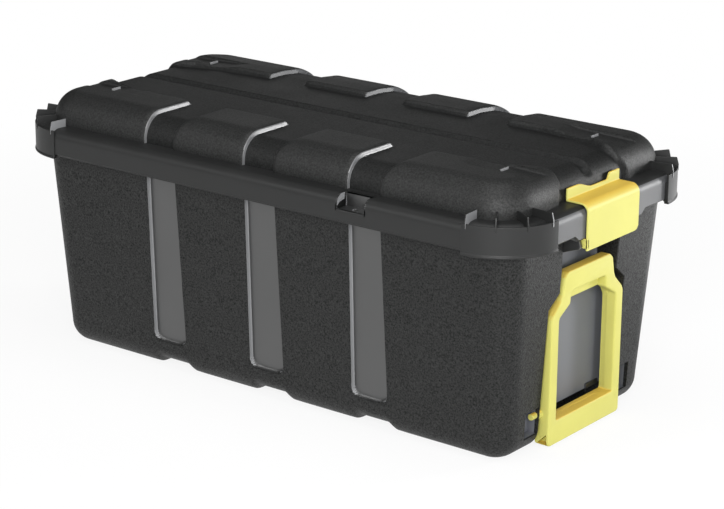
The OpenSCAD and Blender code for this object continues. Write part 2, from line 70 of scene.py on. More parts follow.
# Lid
RIM_HALF_X, RIM_HALF_Y, RIM_CORNER = 493.5, 248.5, 95.0
FLANGE_Z, SKIRT_FOOT, SKIRT_ROUND = 379.5, 339.5, 15.0
SKIRT_DROP, DROP_HALF, DROP_RUN = 8.0, 86.0, 10.0
CROWN_HALF_X, CROWN_HALF_Y, CROWN_CORNER = 456.0, 213.0, 56.0
CROWN_TOP, CROWN_ROUND = 421.5, 36.0
CROWN_X, CROWN_Y = CROWN_HALF_X - CROWN_CORNER, CROWN_HALF_Y - CROWN_CORNER
RIM_X, RIM_Y = RIM_HALF_X - RIM_CORNER, RIM_HALF_Y - RIM_CORNER
PAD_RISE, PAD_OUT = 8.5, 6.0
BAND_X = (300.0, 316.0, 349.0, 393.0, 422.0, 437.0, 450.0, 456.0)
BAND_Y = (105.0, 102.0, 98.5, 90.0, 77.5, 72.0, 75.0, 86.0)
BAND_SLOPE = 9.0
NOTCH_LOW_X, NOTCH_HIGH_X, NOTCH_IN, NOTCH_Z = 177.0, 227.0, 224.5, 357.5
PAD_A, PAD_B, PAD_C = 29.2, 173.3, 231.2
PAD_FOOT, PAD_SHOULDER = 1.3, 11.0
PAD_STEP, SHOULDER_FROM = 0.5, 0.4
FALL, FALL_FROM, FALL_OVER = 3.6, 140.0, 45.0
PAD_TRIM, TRIM_FROM, TRIM_OVER, TRIM_FOOT = 16.0, 180.0, 30.0, 1.4
SEAT_INNER, SEAT_OUTER = 99.0, 143.0
SEAT_X = (314.0, 345.0, 450.0, 470.0)
SEAT_Z = (431.5, 426.0, 422.5, 421.7)
SPINE_HALF, SPINE_DEPTH, SPINE_TIP = 15.0, 9.0, 66.0
STOP_X, STOP_T, STOP_Y, STOP_HALF, STOP_TOP, STOP_DEEP = 385.0, 3.0, 121.0, 10.5, 428.6, 6.0
GUARD_X, GUARD_Y, GUARD_R = 400.0, 150.5, 101.0
GUARD_FOOT, GUARD_TOP = 332.5, 378.5
BEAD, BEAD_IN, BEAD_SLOPE, LIP_T, TROUGH = 2.6, 1.3, 1.6, 4.6, 13.0
RIB_ANGLES, RIB_T, RIB_TOP, RIB_IN, RIB_SHORT = (6.0, 31.0, 58.0, 85.0), 2.5, 392.5, 52.0, 0.4
LOCK_IN, LOCK_R, PAN_GAP = 12.0, 4.0, 3.5

# Rim, brackets and rests of the tub
LIP_OUT, LIP_SHOW = 3.5, 3.0
BAR_X, BAR_Z, BAR_R = 485.5, 320.0, 3.0
CHEEK_Y, CHEEK_T, CHEEK_R = 73.5, 6.0, 6.0
REST_Y, REST_W, REST_H, REST_T = 58.0, 33.0, 8.0, 3.0

# Clips
CLIP_OUT, CLIP_OVER, CLIP_T, CLIP_BEND = 498.0, 383.5, 3.5, 14.0
CLIP_REACH, CLIP_HALF, CLIP_FOOT, CLIP_ROUND = 40.0, 70.5, 312.0, 10.0
CLIP_GRIP_LOW, CLIP_GRIP_HIGH = 390.0, 400.0
CLIP_SOFT, CLIP_SOFT_MOST = 1.1, 1.0
GRIP_FALL_FROM, GRIP_FALL_OVER, GRIP_RISE_FROM, GRIP_RISE_OVER = 44.0, 42.0, 38.0, 6.0
BARREL_R, BARREL_HALF, BARRELS_Y = 5.9, 15.0, (-50.0, 0.0, 50.0)
LUG_OUT, LUG_T, LUG_LOW, LUG_HIGH = 70.5, 4.0, 315.5, 330.0

# Tow handle, with its half outlines as (half width, height, corner radius)
HANDLE_FRONT, HANDLE_BACK, HANDLE_HALF = 460.0, 435.0, 98.0
PLATE_T, PLATE_ROUND, LEG_T, LEG_ROUND = 18.0, 2.6, 10.0, 1.2
PLATE_OUTER = ((98.0, 5.0, 7.0), (98.0, 204.0, 12.0), (94.0, 211.0, 4.0), (75.0, 229.0, 12.0),
               (71.0, 237.0, 8.0), (66.0, 262.0, 4.0), (58.0, 270.0, 12.0))
PLATE_HOLE = ((78.0, 43.0, 4.0), (78.0, 202.0, 8.0), (49.0, 219.0, 7.0), (48.0, 238.0, 6.0))
LEG_OUTER = ((97.6, 5.4, 6.0), (97.6, 203.5, 12.0), (93.6, 210.5, 4.0), (74.6, 228.6, 10.0),
             (70.8, 236.0, 4.0))
LEG_HOLE = ((78.4, 43.4, 4.0), (78.4, 196.0, 10.0), (70.0, 210.0, 12.0), (50.0, 219.5, 3.0))
BOSS_R, BOSS_LEN = 8.0, 5.2
PEG_R, PEG_TIP = 5.0, 118.0
HOLLOW = ((438.5, 7.5), (455.5, 25.0), (457.0, 7.5))
HOLLOW_IN, HOLLOW_OUT = 84.0, 110.0

# Wheels
WHEEL_HALF_W, WHEEL_STEPS, SPOKES, SPOKE_HALF = 12.0, 72, 6, 1.2

# Places of the tub's and the lid's materials in their lists
ON_WALL, ON_GROOVE, ON_RECESS, ON_GROOVE_END = range(4)
ON_PAD, ON_PAD_END, ON_END_SKIRT, ON_RIM, ON_BAND = range(5)


def lerp(a, b, t):
    return a + (b - a) * t


def smooth(t):
    t = np.clip(t, 0.0, 1.0)
    return t * t * (3 - 2 * t)


def bulge(d, r):
    """0 at an edge, rising steeply and levelling off at a distance r from it."""
    t = np.clip(d / r, 0.0, 1.0)
    return np.sqrt(np.maximum(1 - (1 - t) ** 2, 0.0))


class Lines:
    """Grid lines between feature lines: close together beside each feature, wide apart between."""

    def __init__(self, segments):
        self.rows = []
        for k, (left, right, count) in enumerate(segments):
            for d in left:
                self.rows.append((k, 0, d))
            for i in range(1, count + 1):
                self.rows.append((k, 1, i / (count + 1.0)))
            for d in reversed(right):
                self.rows.append((k, 2, d))
        self.pads = [(max(s[0] or [0.0]), max(s[1] or [0.0])) for s in segments]

    def at(self, breaks):
        breaks = [np.asarray(b, float) for b in breaks]
        out = []
        for k, kind, value in self.rows:
            a, b = breaks[k], breaks[k + 1]
            low, high = self.pads[k]
            if kind == 0:
                out.append(a + value)
            elif kind == 2:
                out.append(b - value)
            else:
                out.append(lerp(a + low, b - high, value))
        return np.array(out)


def new_object(name, mesh, materials):
    ob = bpy.data.objects.new(name, mesh)
    bpy.context.scene.collection.objects.link(ob)
    for m in materials:
        mesh.materials.append(m)
    return ob


def shade_smooth(mesh, sharp):
    """Smooth shading, with edges over an angle kept sharp."""
    mesh.polygons.foreach_set("use_smooth", [True] * len(mesh.polygons))
    mesh.set_sharp_from_angle(angle=math.radians(sharp))
    mesh.update()


def thicken(ob):
    """Give a shell the moulding's wall, inwards from its outer face."""
    thick = ob.modifiers.new("thickness", "SOLIDIFY")
    thick.thickness = WALL * MM
    thick.offset = -1.0
    return ob


def mesh_object(name, verts, faces, materials, face_mat=None, sharp=SHARP, weld=0.004):
    """A smooth-shaded mesh from points in millimetres, with edges over an angle kept sharp."""
    mesh = bpy.data.meshes.new(name)
    mesh.from_pydata([tuple(v) for v in np.asarray(verts) * MM], [], [tuple(f) for f in faces])
    ob = new_object(name, mesh, materials)
    if face_mat is not None:
        mesh.polygons.foreach_set("material_index", np.asarray(face_mat, dtype=np.int32))
    bm = bmesh.new()
    bm.from_mesh(mesh)
    bmesh.ops.remove_doubles(bm, verts=bm.verts, dist=weld * MM)
    bmesh.ops.dissolve_degenerate(bm, dist=1e-7, edges=bm.edges)
    bm.to_mesh(mesh)
    bm.free()
    shade_smooth(mesh, sharp)
    return ob


def grid_faces(nu, nv, start=0, wrap_u=False, wrap_v=False, flip=False):
    u = np.arange(nu if wrap_u else nu - 1)
    v = np.arange(nv if wrap_v else nv - 1)
    a, b = np.meshgrid(u, v, indexing="ij")
    a, b = a.ravel(), b.ravel()
    a2, b2 = (a + 1) % nu, (b + 1) % nv
    quads = np.stack([a * nv + b, a2 * nv + b, a2 * nv + b2, a * nv + b2], axis=1) + start
    return quads[:, ::-1] if flip else quads


def tub_profile():
    """Heights down the tub's wall and round its bottom edge, with the inset of the edge."""
    z = [TUB_TOP - 2.5, 372.0, 368.0, 360.0, 340.0, 310.0, 280.0, 262.0, 250.0,
         RECESS_HIGH + 2, RECESS_HIGH, 238.0, 232.0, 226.0, RECESS_LOW, RECESS_LOW - 2,
         212.0, 196.0, 170.0, 140.0, 110.0, 88.0, 76.0]
    z += [SLOT_HIGH + d for d in (1.2, 0.5, 0.1, -0.1, -0.5, -1.0, -1.6, -2.5, -4.0)]
    z += [GROOVE_FOOT + d for d in (15.0, 13.0, 11.0, 9.0, 7.5, 6.0, 5.0, 4.0, 3.2, 2.5, 1.8, 1.3,
                                    0.8, 0.4, 0.15, 0.0, -0.4, -1.2, -2.4)]
    z += [WELL_Z + d for d in (0.8, 0.15, -0.15, -1.0, -3.0, -6.0)]
    inset = [0.0] * len(z)
    levels = [SLOT_LOW + d for d in (0.9, 0.3, 0.05, -0.1, -0.5, -1.2)]
    levels += [TUB_EDGE * (1 - math.sin(math.radians(a))) for a in range(0, 91, 6)]
    for level in sorted(levels, reverse=True):
        s = 1 - level / TUB_EDGE
        z.append(level)
        inset.append(TUB_EDGE * (1 - math.sqrt(max(1 - s * s, 0.0))))
    return np.array(z), np.array(inset)


def wall_at(z, half, rise):
    """Distance of a drafted wall from the middle at a height."""
    return half + np.maximum(z - TUB_EDGE, 0.0) / (TUB_TOP - TUB_EDGE) * rise


def end_at(z):
    return wall_at(z, TUB_HALF_X, END_RISE)


def side_at(z):
    return wall_at(z, TUB_HALF_Y, SIDE_RISE)


def groove_half(z):
    t = np.clip((z - GROOVE_FOOT) / (373.0 - GROOVE_FOOT), 0.0, 1.0)
    return lerp(GROOVE_FOOT_HALF, GROOVE_TOP_HALF, t)


def groove_depth(x, z):
    """Depth of the grooves in a long wall, with round lower corners and a cove at the foot."""
    depth = np.zeros_like(x)
    for c in GROOVES:
        side = groove_half(z) - np.abs(x - c)
        foot = z - GROOVE_FOOT
        u = np.clip(1 - side / GROOVE_CORNER, 0.0, None)
        v = np.clip(1 - foot / GROOVE_CORNER, 0.0, None)
        d = GROOVE_CORNER * (1 - np.sqrt(u * u + v * v))
        turn = v * v / np.maximum(u * u + v * v, 1e-9)
        cove = lerp(1.4, GROOVE_COVE, smooth(turn * 1.2))
        inside = (side > 0) & (foot > 0)
        depth = np.where(inside, np.maximum(depth, GROOVE_DEPTH * bulge(d, cove)), depth)
        lip = np.clip(1 - np.abs(np.where(inside, 9.0, np.minimum(side, foot))) / 1.2, 0.0, 1.0)
        near = (side > -1.2) & (foot > -1.2) & ~inside
        depth = np.where(near, np.maximum(depth, 0.35 * lip * lip), depth)
    return depth


def channel(x):
    """Height of the channels between the feet, along the trunk."""
    rise = np.zeros_like(x)
    flat = GROOVE_TOP_HALF - 4.0
    for c in GROOVES:
        rise = np.maximum(rise, smooth(1 - (np.abs(x - c) - flat) / CHANNEL_SLOPE))
    return CHANNEL_RISE * rise


def long_side(z):
    inner = [0.0, 0.15, 0.4, 0.8, 1.4, 2.4, 4.0, 6.0, 9.0, 13.0, 18.0]
    outer = [0.4, 0.8, 1.2, 3.0, 7.0]
    segments = [([0.0], outer, 9)]
    for _ in range(2):
        segments += [(inner, inner, 3), (outer, outer, 8)]
    segments += [(inner, inner, 3), (outer, [0.0], 9)]
    w = groove_half(z)
    cx = end_at(z) - TUB_CORNER
    breaks = [-cx, -GROOVE_PITCH - w, -GROOVE_PITCH + w, -w, w, GROOVE_PITCH - w, GROOVE_PITCH + w, cx]
    return Lines(segments).at([b * np.ones_like(z) for b in breaks])


def recess_half(z):
    t = np.clip((z - RECESS_LOW) / (RECESS_HIGH - RECESS_LOW), 0.0, 1.0)
    flare = np.clip((z - 296.0) / 16.0, 0.0, 1.0)
    return lerp(RECESS_WIDE, RECESS_NECK, t) + 2.5 * flare


def recess_floor(z):
    drop = np.sqrt(np.maximum(WELL_R ** 2 - (z - PIVOT_Z) ** 2, 0.0))
    return np.where(z < WELL_Z, PIVOT_X - drop, RECESS_X)


def near_end(z, inset):
    """Points of the +X end wall with the tow handle's recess, from -Y to +Y.

    A column's kind is 0 on the wall, 1 on the recess's edge and 2 on its floor.
    """
    wall = end_at(z) - inset
    cy = side_at(z) - TUB_CORNER
    w = recess_half(z)
    floor = np.minimum(recess_floor(z), wall)
    edge = [(1.8, 0.0), (1.0, -0.25), (0.45, -0.65), (0.1, -1.2), (0.0, -1.8)]
    foot = [(0.0, 2.0), (-0.15, 1.2), (-0.6, 0.5), (-1.2, 0.15), (-2.0, 0.0)]
    slot = [SLOT_OUT + d for d in (1.2, 0.5, 0.1, -0.1, -0.5, -1.2)] + [30.0, 20.0, 10.0]
    slot += [SLOT_IN + d for d in (1.2, 0.5, 0.1, -0.1, -0.5)]
    cols = [(lerp(w + slot[0], cy, t), 0, 0.0) for t in (1.0, 0.8, 0.6, 0.4, 0.2)]
    cols += [(w + d, 0, 0.0) for d in slot]
    cols += [(w + d, 1, off) for d, off in edge]
    cols += [(w + d, 2, off) for d, off in foot]
    cols += [(w * t, 2, 0.0) for t in (0.85, 0.7, 0.55, 0.4, 0.25, 0.1)]
    side = np.array([c[0] * np.ones_like(z) for c in cols])
    kind = np.array([c[1] for c in cols])[:, None]
    off = np.array([c[2] for c in cols])[:, None]
    base = np.where(kind == 2, floor, wall)
    x = np.where(kind == 2, np.minimum(floor + off, wall), np.maximum(wall + off, floor))
    inner = side - w
    d = np.minimum(np.minimum(inner - SLOT_IN, SLOT_OUT - inner), np.minimum(z - SLOT_LOW, SLOT_HIGH - z))
    pocket = (kind == 0) & (d > 0)
    x = np.where(pocket, lerp(x, np.minimum(SLOT_X, x), np.clip(d / 0.3, 0.0, 1.0)), x)
    y = np.concatenate([-side, side[::-1]])
    return np.concatenate([x, x[::-1]]), y


def far_end(z, inset):
    """Points of the -X end wall with the two wheel arches, from +Y to -Y."""
    wall = end_at(z) - inset
    cy = side_at(z) - TUB_CORNER
    reach = np.sqrt(np.maximum(ARCH_R ** 2 - np.maximum(z - WHEEL_Z, 0.0) ** 2, 0.0))
    arch = np.where(z < WHEEL_Z + ARCH_R, np.minimum(-WHEEL_X - reach, wall), wall)
    low, high = WHEEL_Y - ARCH_HALF, WHEEL_Y + ARCH_HALF
    cols = [(t, 0) for t in (0.0, 25.0, 50.0, 80.0, 105.0, low - 3, low - 1, low - 0.1)]
    cols += [(low, 1), (low + 1, 1), (low + 8, 1), (high - 8, 1), (high - 1, 1), (high, 1)]
    cols += [(high + 0.1, 0), (high + 1, 0)]
    side = np.array([c[0] * np.ones_like(z) for c in cols[1:]])
    kind = np.array([c[1] for c in cols[1:]])[:, None]
    side = np.minimum(side, cy + 2.0)
    x = np.where(kind == 1, arch, wall)
    mid = np.zeros((1, len(z)))
    y = np.concatenate([side[::-1], mid, -side])
    x = np.concatenate([x[::-1], wall[None, :], x])
    return -x, y


def tub_walls(z, inset):
    """The tub's outer face as columns of points, with the long walls and their grooves' depths."""
    xs = long_side(z)
    hy = side_at(z) - inset
    cx = end_at(z) - TUB_CORNER
    cy = side_at(z) - TUB_CORNER
    zz = np.broadcast_to(z, xs.shape)
    depth = groove_depth(xs, zz)
    front = np.stack([xs, -(hy - depth), zz], axis=2)
    back = np.stack([-xs, hy - depth, zz], axis=2)
    rad = TUB_CORNER - inset

    def corner(sx, sy, start):
        out = []
        for a in np.linspace(start, start + 90, CORNER_STEPS + 1)[1:-1]:
            c, s = math.cos(math.radians(a)), math.sin(math.radians(a))
            out.append(np.stack([sx * cx + rad * c, sy * cy + rad * s, z], axis=1))
        return np.array(out)

    def end(points):
        x, y = points
        return np.stack([x, y, np.broadcast_to(z, x.shape)], axis=2)

    right, left = end(near_end(z, inset)), end(far_end(z, inset))
    grid = np.concatenate([front, corner(1, -1, -90), right, corner(1, 1, 0),
                           back, corner(-1, 1, 90), left, corner(-1, -1, 180)])
    grid[:, :, 2] += channel(grid[:, :, 0]) * (1 - smooth(z / CHANNEL_FADE))
    back_from = len(front) + len(right) + 2 * (CORNER_STEPS - 1)
    return grid, front, back, back_from, depth


def tub_materials(verts, faces, grooved):
    """Which of the tub's materials each face of its walls has."""
    mat = np.where(grooved[faces].all(axis=1), ON_GROOVE, ON_WALL)
    sides = verts[faces]
    normal = np.cross(sides[:, 2] - sides[:, 0], sides[:, 3] - sides[:, 1])
    # Groove walls turned to the ends take a light grey: painted highlight.
    toward_end = np.abs(normal[:, 0]) > 0.5 * np.linalg.norm(normal, axis=1)
    mat[toward_end & grooved[faces].any(axis=1)] = ON_GROOVE_END
    # The recess's floor and the peg pockets take a light grey: painted light from the side.
    pocket = (np.abs(verts[:, 0] - SLOT_X) < 1.0) & (verts[:, 2] < SLOT_HIGH + 1.0)
    pocket &= (np.abs(verts[:, 1]) < RECESS_WIDE + SLOT_OUT + 1.0) & (verts[:, 0] > 0)
    sunk = (np.abs(verts[:, 0] - RECESS_X) < 2.5) & (verts[:, 2] > WELL_Z)
    mat[sunk[faces].all(axis=1) | pocket[faces].any(axis=1)] = ON_RECESS
    return mat


def tub_shell(materials):
    """The tub's walls and its floor with the channels between the feet."""
    z, inset = tub_profile()
    grid, front, back, start, depth = tub_walls(z, inset)
    nu, n = grid.shape[:2]
    nf = len(front)
    faces = grid_faces(nu, n, wrap_u=True)
    grooved = np.zeros((nu, n), bool)
    grooved[:nf] = grooved[start:start + nf] = depth > 0.5
    verts = grid.reshape(-1, 3)
    mat = tub_materials(verts, faces, grooved.ravel())
    base, rows = len(verts), 8
    floor_pts = []
    for i in range(nf):
        a, b = front[i, -1], back[nf - 1 - i, -1]
        for k in range(1, rows):
            p = lerp(a, b, k / rows)
            floor_pts.append([p[0], p[1], channel(np.array([p[0]]))[0]])

    def at(i, k):
        if k == 0:
            return i * n + n - 1
        if k == rows:
            return (start + nf - 1 - i) * n + n - 1
        return base + i * (rows - 1) + k - 1

    floor_faces = [[at(i, k), at(i, k + 1), at(i + 1, k + 1), at(i + 1, k)]
                   for i in range(nf - 1) for k in range(rows)]
    for row, across, ends in ((nf - 1, range(rows + 1), range(start - 1, nf - 1, -1)),
                              (0, range(rows, -1, -1), range(nu - 1, start + nf - 1, -1))):
        floor_faces.append([at(row, k) for k in across] + [c * n + n - 1 for c in ends])
    faces = [list(f) for f in faces[:, ::-1]] + floor_faces
    mat = list(mat) + [ON_WALL] * len(floor_faces)
    verts = np.concatenate([verts, np.array(floor_pts)])
    return thicken(mesh_object("tub_shell", verts, faces, materials, mat))


def spread(features, low, high, gap):
    """Grid lines from low to high: close beside each feature, no more than gap apart elsewhere."""
    lines = {low, high}
    for at, below, above in features:
        lines.update(round(at - d, 3) for d in below)
        lines.update(round(at + d, 3) for d in above)
    kept = [low]
    for v in sorted(v for v in lines if low < v <= high):
        if v - kept[-1] < 0.05:
            continue
        steps = math.ceil((v - kept[-1]) / gap)
        start = kept[-1]
        kept += [lerp(start, v, i / steps) for i in range(1, steps + 1)]
    kept[-1] = high
    return np.array(kept)


def band_edge(x):
    """Half width of the flat band down the middle, which narrows towards the ends."""
    return np.interp(np.abs(x), BAND_X, BAND_Y)


def pad_mask(x, y):
    """1 on the lid's raised pads and 0 off them: steep end walls, round shoulders, soft inner slopes."""
    u = x * np.sign(y)
    trim = PAD_TRIM * (1.0 - smooth((np.abs(y) - TRIM_FROM) / TRIM_OVER))
    steep = np.where(u > PAD_B, u - PAD_C, np.where(u > -PAD_A, u - PAD_A, u + PAD_B))
    steep = np.where(u < -PAD_B, FAR, steep)
    soft = np.where(u < -PAD_B, -PAD_C - u, np.where(u < PAD_A, -PAD_A - u, PAD_B - u)) - trim
    soft = np.where(u > PAD_B, FAR, soft)
    ends = 1.0
    for along, foot in ((steep, PAD_FOOT), (soft, TRIM_FOOT)):
        step = PAD_STEP * np.clip(along / foot, 0.0, 1.0)
        ends = ends * (step + (1 - PAD_STEP) * bulge(along - SHOULDER_FROM * foot, PAD_SHOULDER))
    return ends * smooth((np.abs(y) - band_edge(x)) / BAND_SLOPE)


def seat_cut(x, y, z):
    """Heights after the stacking seats are cut down to their sloping floors."""
    floor = np.interp(np.abs(x), SEAT_X, SEAT_Z)
    side = np.minimum(np.abs(y) - SEAT_INNER, SEAT_OUTER - np.abs(y))
    inside = bulge(side, 2.0) * (np.abs(x) > SEAT_X[0])
    return z - inside * np.maximum(z - floor, 0.0)


def back_fall(y):
    """Drop of the crown's shoulder along the back, which is rounder than the front."""
    return FALL * smooth((y - FALL_FROM) / FALL_OVER)


def spine_drop(y, angle):
    """Depth of the groove down the middle, narrowing to a tip on the end's rounding."""
    t = min(angle / SPINE_TIP, 1.0)
    half = SPINE_HALF * math.sqrt(1 - t * t)
    return SPINE_DEPTH * smooth((half - np.abs(y)) / 5.5) * min((1 - t) * 4.0, 1.0)


def lid_rows():
    """Rows from the crown's flat out to the skirt's foot: corner centre, radius, height, kind, value."""
    rows = []
    flat = CROWN_CORNER - CROWN_ROUND
    cx, cy, sx, sy = CROWN_X, CROWN_Y, RIM_X, RIM_Y
    for r in (0.0, 5.0, 10.0, 15.0):
        rows.append((cx, cy, r, CROWN_TOP, "crown", 0.0))
    for a in range(0, 91, 5):
        t = math.radians(a)
        rows.append((cx, cy, flat + CROWN_ROUND * math.sin(t),
                     CROWN_TOP - CROWN_ROUND * (1 - math.cos(t)), "crown", float(a)))
    rows.append((cx, cy, CROWN_CORNER, FLANGE_Z + 0.6, "crown", 90.0))
    inner = RIM_CORNER - SKIRT_ROUND
    for t in (0.0, 0.03, 0.12, 0.35, 0.7, 1.0):
        rows.append((lerp(cx, sx, t), lerp(cy, sy, t), lerp(CROWN_CORNER, inner, t), FLANGE_Z, "flange", t))
    for a in range(9, 91, 9):
        t = math.radians(a)
        rows.append((sx, sy, inner + SKIRT_ROUND * math.sin(t),
                     FLANGE_Z - SKIRT_ROUND * (1 - math.cos(t)), "turn", a / 90.0))
    for t in (0.25, 0.5, 0.75, 0.93, 0.975, 1.0):
        rows.append((sx, sy, RIM_CORNER - (0.7 if t == 1.0 else 0.0), FLANGE_Z - SKIRT_ROUND, "skirt", t))
    return rows


def ring_columns(xs, ys, arc):
    """Columns round a rectangle with round corners: side signs, direction, and place along the side."""
    cols = []
    for x in xs:
        cols.append((0.0, -1.0, 0.0, -1.0, x))
    for sx, sy, start, side in ((1, -1, -90, "y"), (1, 1, 0, "x"), (-1, 1, 90, "yd"), (-1, -1, 180, "xd")):
        for a in np.linspace(start, start + 90, arc)[1:-1]:
            t = math.radians(a)
            cols.append((sx, sy, math.cos(t), math.sin(t), None))
        if side == "y":
            cols += [(1.0, 0.0, 1.0, 0.0, y) for y in ys]
        elif side == "x":
            cols += [(0.0, 1.0, 0.0, 1.0, x) for x in xs[::-1]]
        elif side == "yd":
            cols += [(-1.0, 0.0, -1.0, 0.0, y) for y in ys[::-1]]
    return cols


def ring_point(cols, cx, cy, r, ratio_x=1.0, ratio_y=1.0):
    """Points of one row of a ring of columns."""
    out = []
    for sx, sy, dx, dy, along in cols:
        if along is None:
            out.append((sx * cx + r * dx, sy * cy + r * dy))
        elif sx == 0:
            out.append((along * ratio_x, sy * (cy + r)))
        else:
            out.append((sx * (cx + r), along * ratio_y))
    return np.array(out)


def lid_material(corners):
    """Which of the lid's materials a face has. The end skirts take a light grey that paints the highlight
    they catch from the side.
    """
    mid = corners.mean(axis=0)
    normal = np.cross(corners[2] - corners[0], corners[3] - corners[1])
    normal = np.abs(normal) / (np.linalg.norm(normal) or 1.0)
    if abs(mid[0]) > RIM_HALF_X - 4.0:
        return ON_END_SKIRT
    if mid[2] < FLANGE_Z + 0.3:
        return ON_RIM
    # Walls turned to the ends take one of two light greys, which paint the highlight they catch from the
    # side.
    if normal[0] > 0.5 and abs(mid[0]) < CROWN_HALF_X - CROWN_ROUND:
        outer = PAD_B - PAD_TRIM - PAD_SHOULDER < abs(mid[0]) < PAD_B + PAD_SHOULDER
        return ON_END_SKIRT if outer == (mid[0] * mid[1] > 0) else ON_PAD_END
    return ON_PAD if pad_mask(mid[0], mid[1]) > 0.5 else ON_BAND


def ring_places(cols, low, high):
    """Where each column of a ring lies, the padlock notches being from low to high along it."""
    along = np.array([c[4] if c[4] is not None else 0.0 for c in cols])
    corner = np.array([c[4] is None for c in cols])
    side = ~corner & np.array([c[0] == 0 for c in cols])
    end = ~corner & np.array([c[1] == 0 for c in cols])
    dirs = np.array([(c[2], c[3]) for c in cols])
    turned = np.where(side, along * -dirs[:, 1], 0.0)
    return along, side, end, corner, dirs, side & (turned > low) & (turned < high)


def ring_faces(kinds, notch):
    """Faces between the rows of a ring, left open where the rim turns at the padlock notches."""
    nu = len(notch)
    faces = []
    for i in range(len(kinds) - 1):
        for j in range(nu):
            k = (j + 1) % nu
            if not (notch[j] and notch[k] and kinds[i + 1] == "turn"):
                faces.append([i * nu + j, (i + 1) * nu + j, (i + 1) * nu + k, i * nu + k])
    return faces


def skirt_drop(along, end, corner):
    """How far the skirt hangs lower, in the middle of the ends and at the corners."""
    middle = np.clip((DROP_HALF + DROP_RUN - np.abs(along)) / DROP_RUN, 0, 1)
    return np.where(corner, SKIRT_DROP - 1, np.where(end, SKIRT_DROP * middle, 0.0))


def drop_lines(s):
    """Grid lines where the skirt's foot drops, on one half of an end."""
    return (s * DROP_HALF, [0.0], [0.0, 0.5 * DROP_RUN, DROP_RUN])


def one_sided(at, inside, near, far):
    """Grid lines of a feature whose detail is above it, where inside is positive, or below it."""
    return (at, far, near) if inside > 0 else (at, near, far)


def lid_lines():
    """Grid lines of the lid along x and along y."""
    wall = [0.0, 0.2, 0.45, 0.7, 0.95, 1.4, 2.2, 3.4, 5.0, 6.8, 8.6, 10.4]
    foot = [0.3, 1.2, 3.0]
    trimmed = [0.0, 0.7, 1.4, 2.2, 3.4, 5.0, 7.0]
    small = [0.0, 0.1, 0.35, 0.8, 1.5]
    across = []
    for s in (1, -1):
        across += [one_sided(s * PAD_A, s, wall, foot), one_sided(s * PAD_B, -s, wall, foot),
                   one_sided(s * PAD_C, s, wall, foot)]
        for low in (PAD_A, PAD_B - PAD_TRIM, PAD_C):
            across += [(s * (low + k), [0.0], []) for k in np.arange(2.0, PAD_TRIM, 2.0)]
        for at, inside in ((PAD_A + PAD_TRIM, s), (PAD_B - PAD_TRIM, -s), (PAD_C + PAD_TRIM, s)):
            across.append(one_sided(s * at, inside, trimmed, foot))
        across += [(s * at, [0.03, 1.0], [0.03, 1.0]) for at in (NOTCH_LOW_X, NOTCH_HIGH_X)]
    upward = [(0.0, [0.0], [])]
    for s in (1, -1):
        upward += [(s * (68.0 + 1.8 * k), [0.0], []) for k in range(28)]
        upward += [one_sided(s * SEAT_INNER, s, small, [0.4]), one_sided(s * SEAT_OUTER, -s, small, [0.4])]
        upward.append((s * SPINE_HALF, [0.0, 0.8, 1.6, 2.4, 3.2, 4.0, 4.8, 5.5], [0.5, 1.5]))
        upward.append(drop_lines(s))
    return spread(across, -CROWN_X, CROWN_X, 14.0), spread(upward, -CROWN_Y, CROWN_Y, 12.0)


def lid_shell(materials):
    """Crown with its pads, flange and skirt, as rows round the crown's flat middle."""
    xs, ys = lid_lines()
    cols = ring_columns(xs, ys, 15)
    along, side, end, corner, dirs, notch = ring_places(cols, NOTCH_LOW_X, NOTCH_HIGH_X)
    rows = lid_rows()
    grid = []
    for cx, cy, r, z, kind, value in rows:
        base = ring_point(cols, cx, cy, r)
        if kind != "crown":
            base[side, 0] *= np.where(np.abs(along[side]) > 390.0, cx / CROWN_X, 1.0)
        x, y = base[:, 0].copy(), base[:, 1].copy()
        mask = np.where(corner, 1.0, pad_mask(x, y))
        zz = np.full(len(x), z)
        if kind == "crown":
            t = math.radians(value)
            groove = np.where(end, spine_drop(y, value), 0.0)
            zz += (PAD_RISE * mask - groove) * math.cos(t)
            out = (PAD_OUT * mask - groove) * math.sin(t)
            x += out * dirs[:, 0]
            y += out * dirs[:, 1]
            zz = seat_cut(x, y, zz) - back_fall(y) * math.cos(t)
        elif kind == "flange":
            out = PAD_OUT * mask * (1 - value)
            y = np.where(notch, dirs[:, 1] * lerp(CROWN_HALF_Y, NOTCH_IN, value), y)
            x += out * dirs[:, 0]
            y += out * dirs[:, 1]
        elif kind == "turn":
            y = np.where(notch, dirs[:, 1] * lerp(NOTCH_IN, RIM_HALF_Y, value), y)
            zz = np.where(notch, NOTCH_Z, zz)
        else:
            foot = SKIRT_FOOT - skirt_drop(along, end, corner)
            zz = lerp(np.where(notch, NOTCH_Z, z), foot, value)
        grid.append(np.stack([x, y, zz], axis=1))
    grid = np.array(grid)
    faces = ring_faces([row[4] for row in rows], notch)
    gx, gy = np.meshgrid(xs, ys, indexing="ij")
    top = CROWN_TOP + PAD_RISE * pad_mask(gx, gy) - spine_drop(gy, 0.0)
    gz = seat_cut(gx, gy, top) - back_fall(gy)
    faces += [list(f) for f in grid_faces(len(xs), len(ys), len(rows) * len(cols))]
    verts = np.concatenate([grid.reshape(-1, 3), np.stack([gx, gy, gz], axis=2).reshape(-1, 3)])
    face_mat = [lid_material(verts[f]) for f in faces]
    return thicken(mesh_object("lid_shell", verts, faces, materials, face_mat, SHARP_SHELL, 0.02))


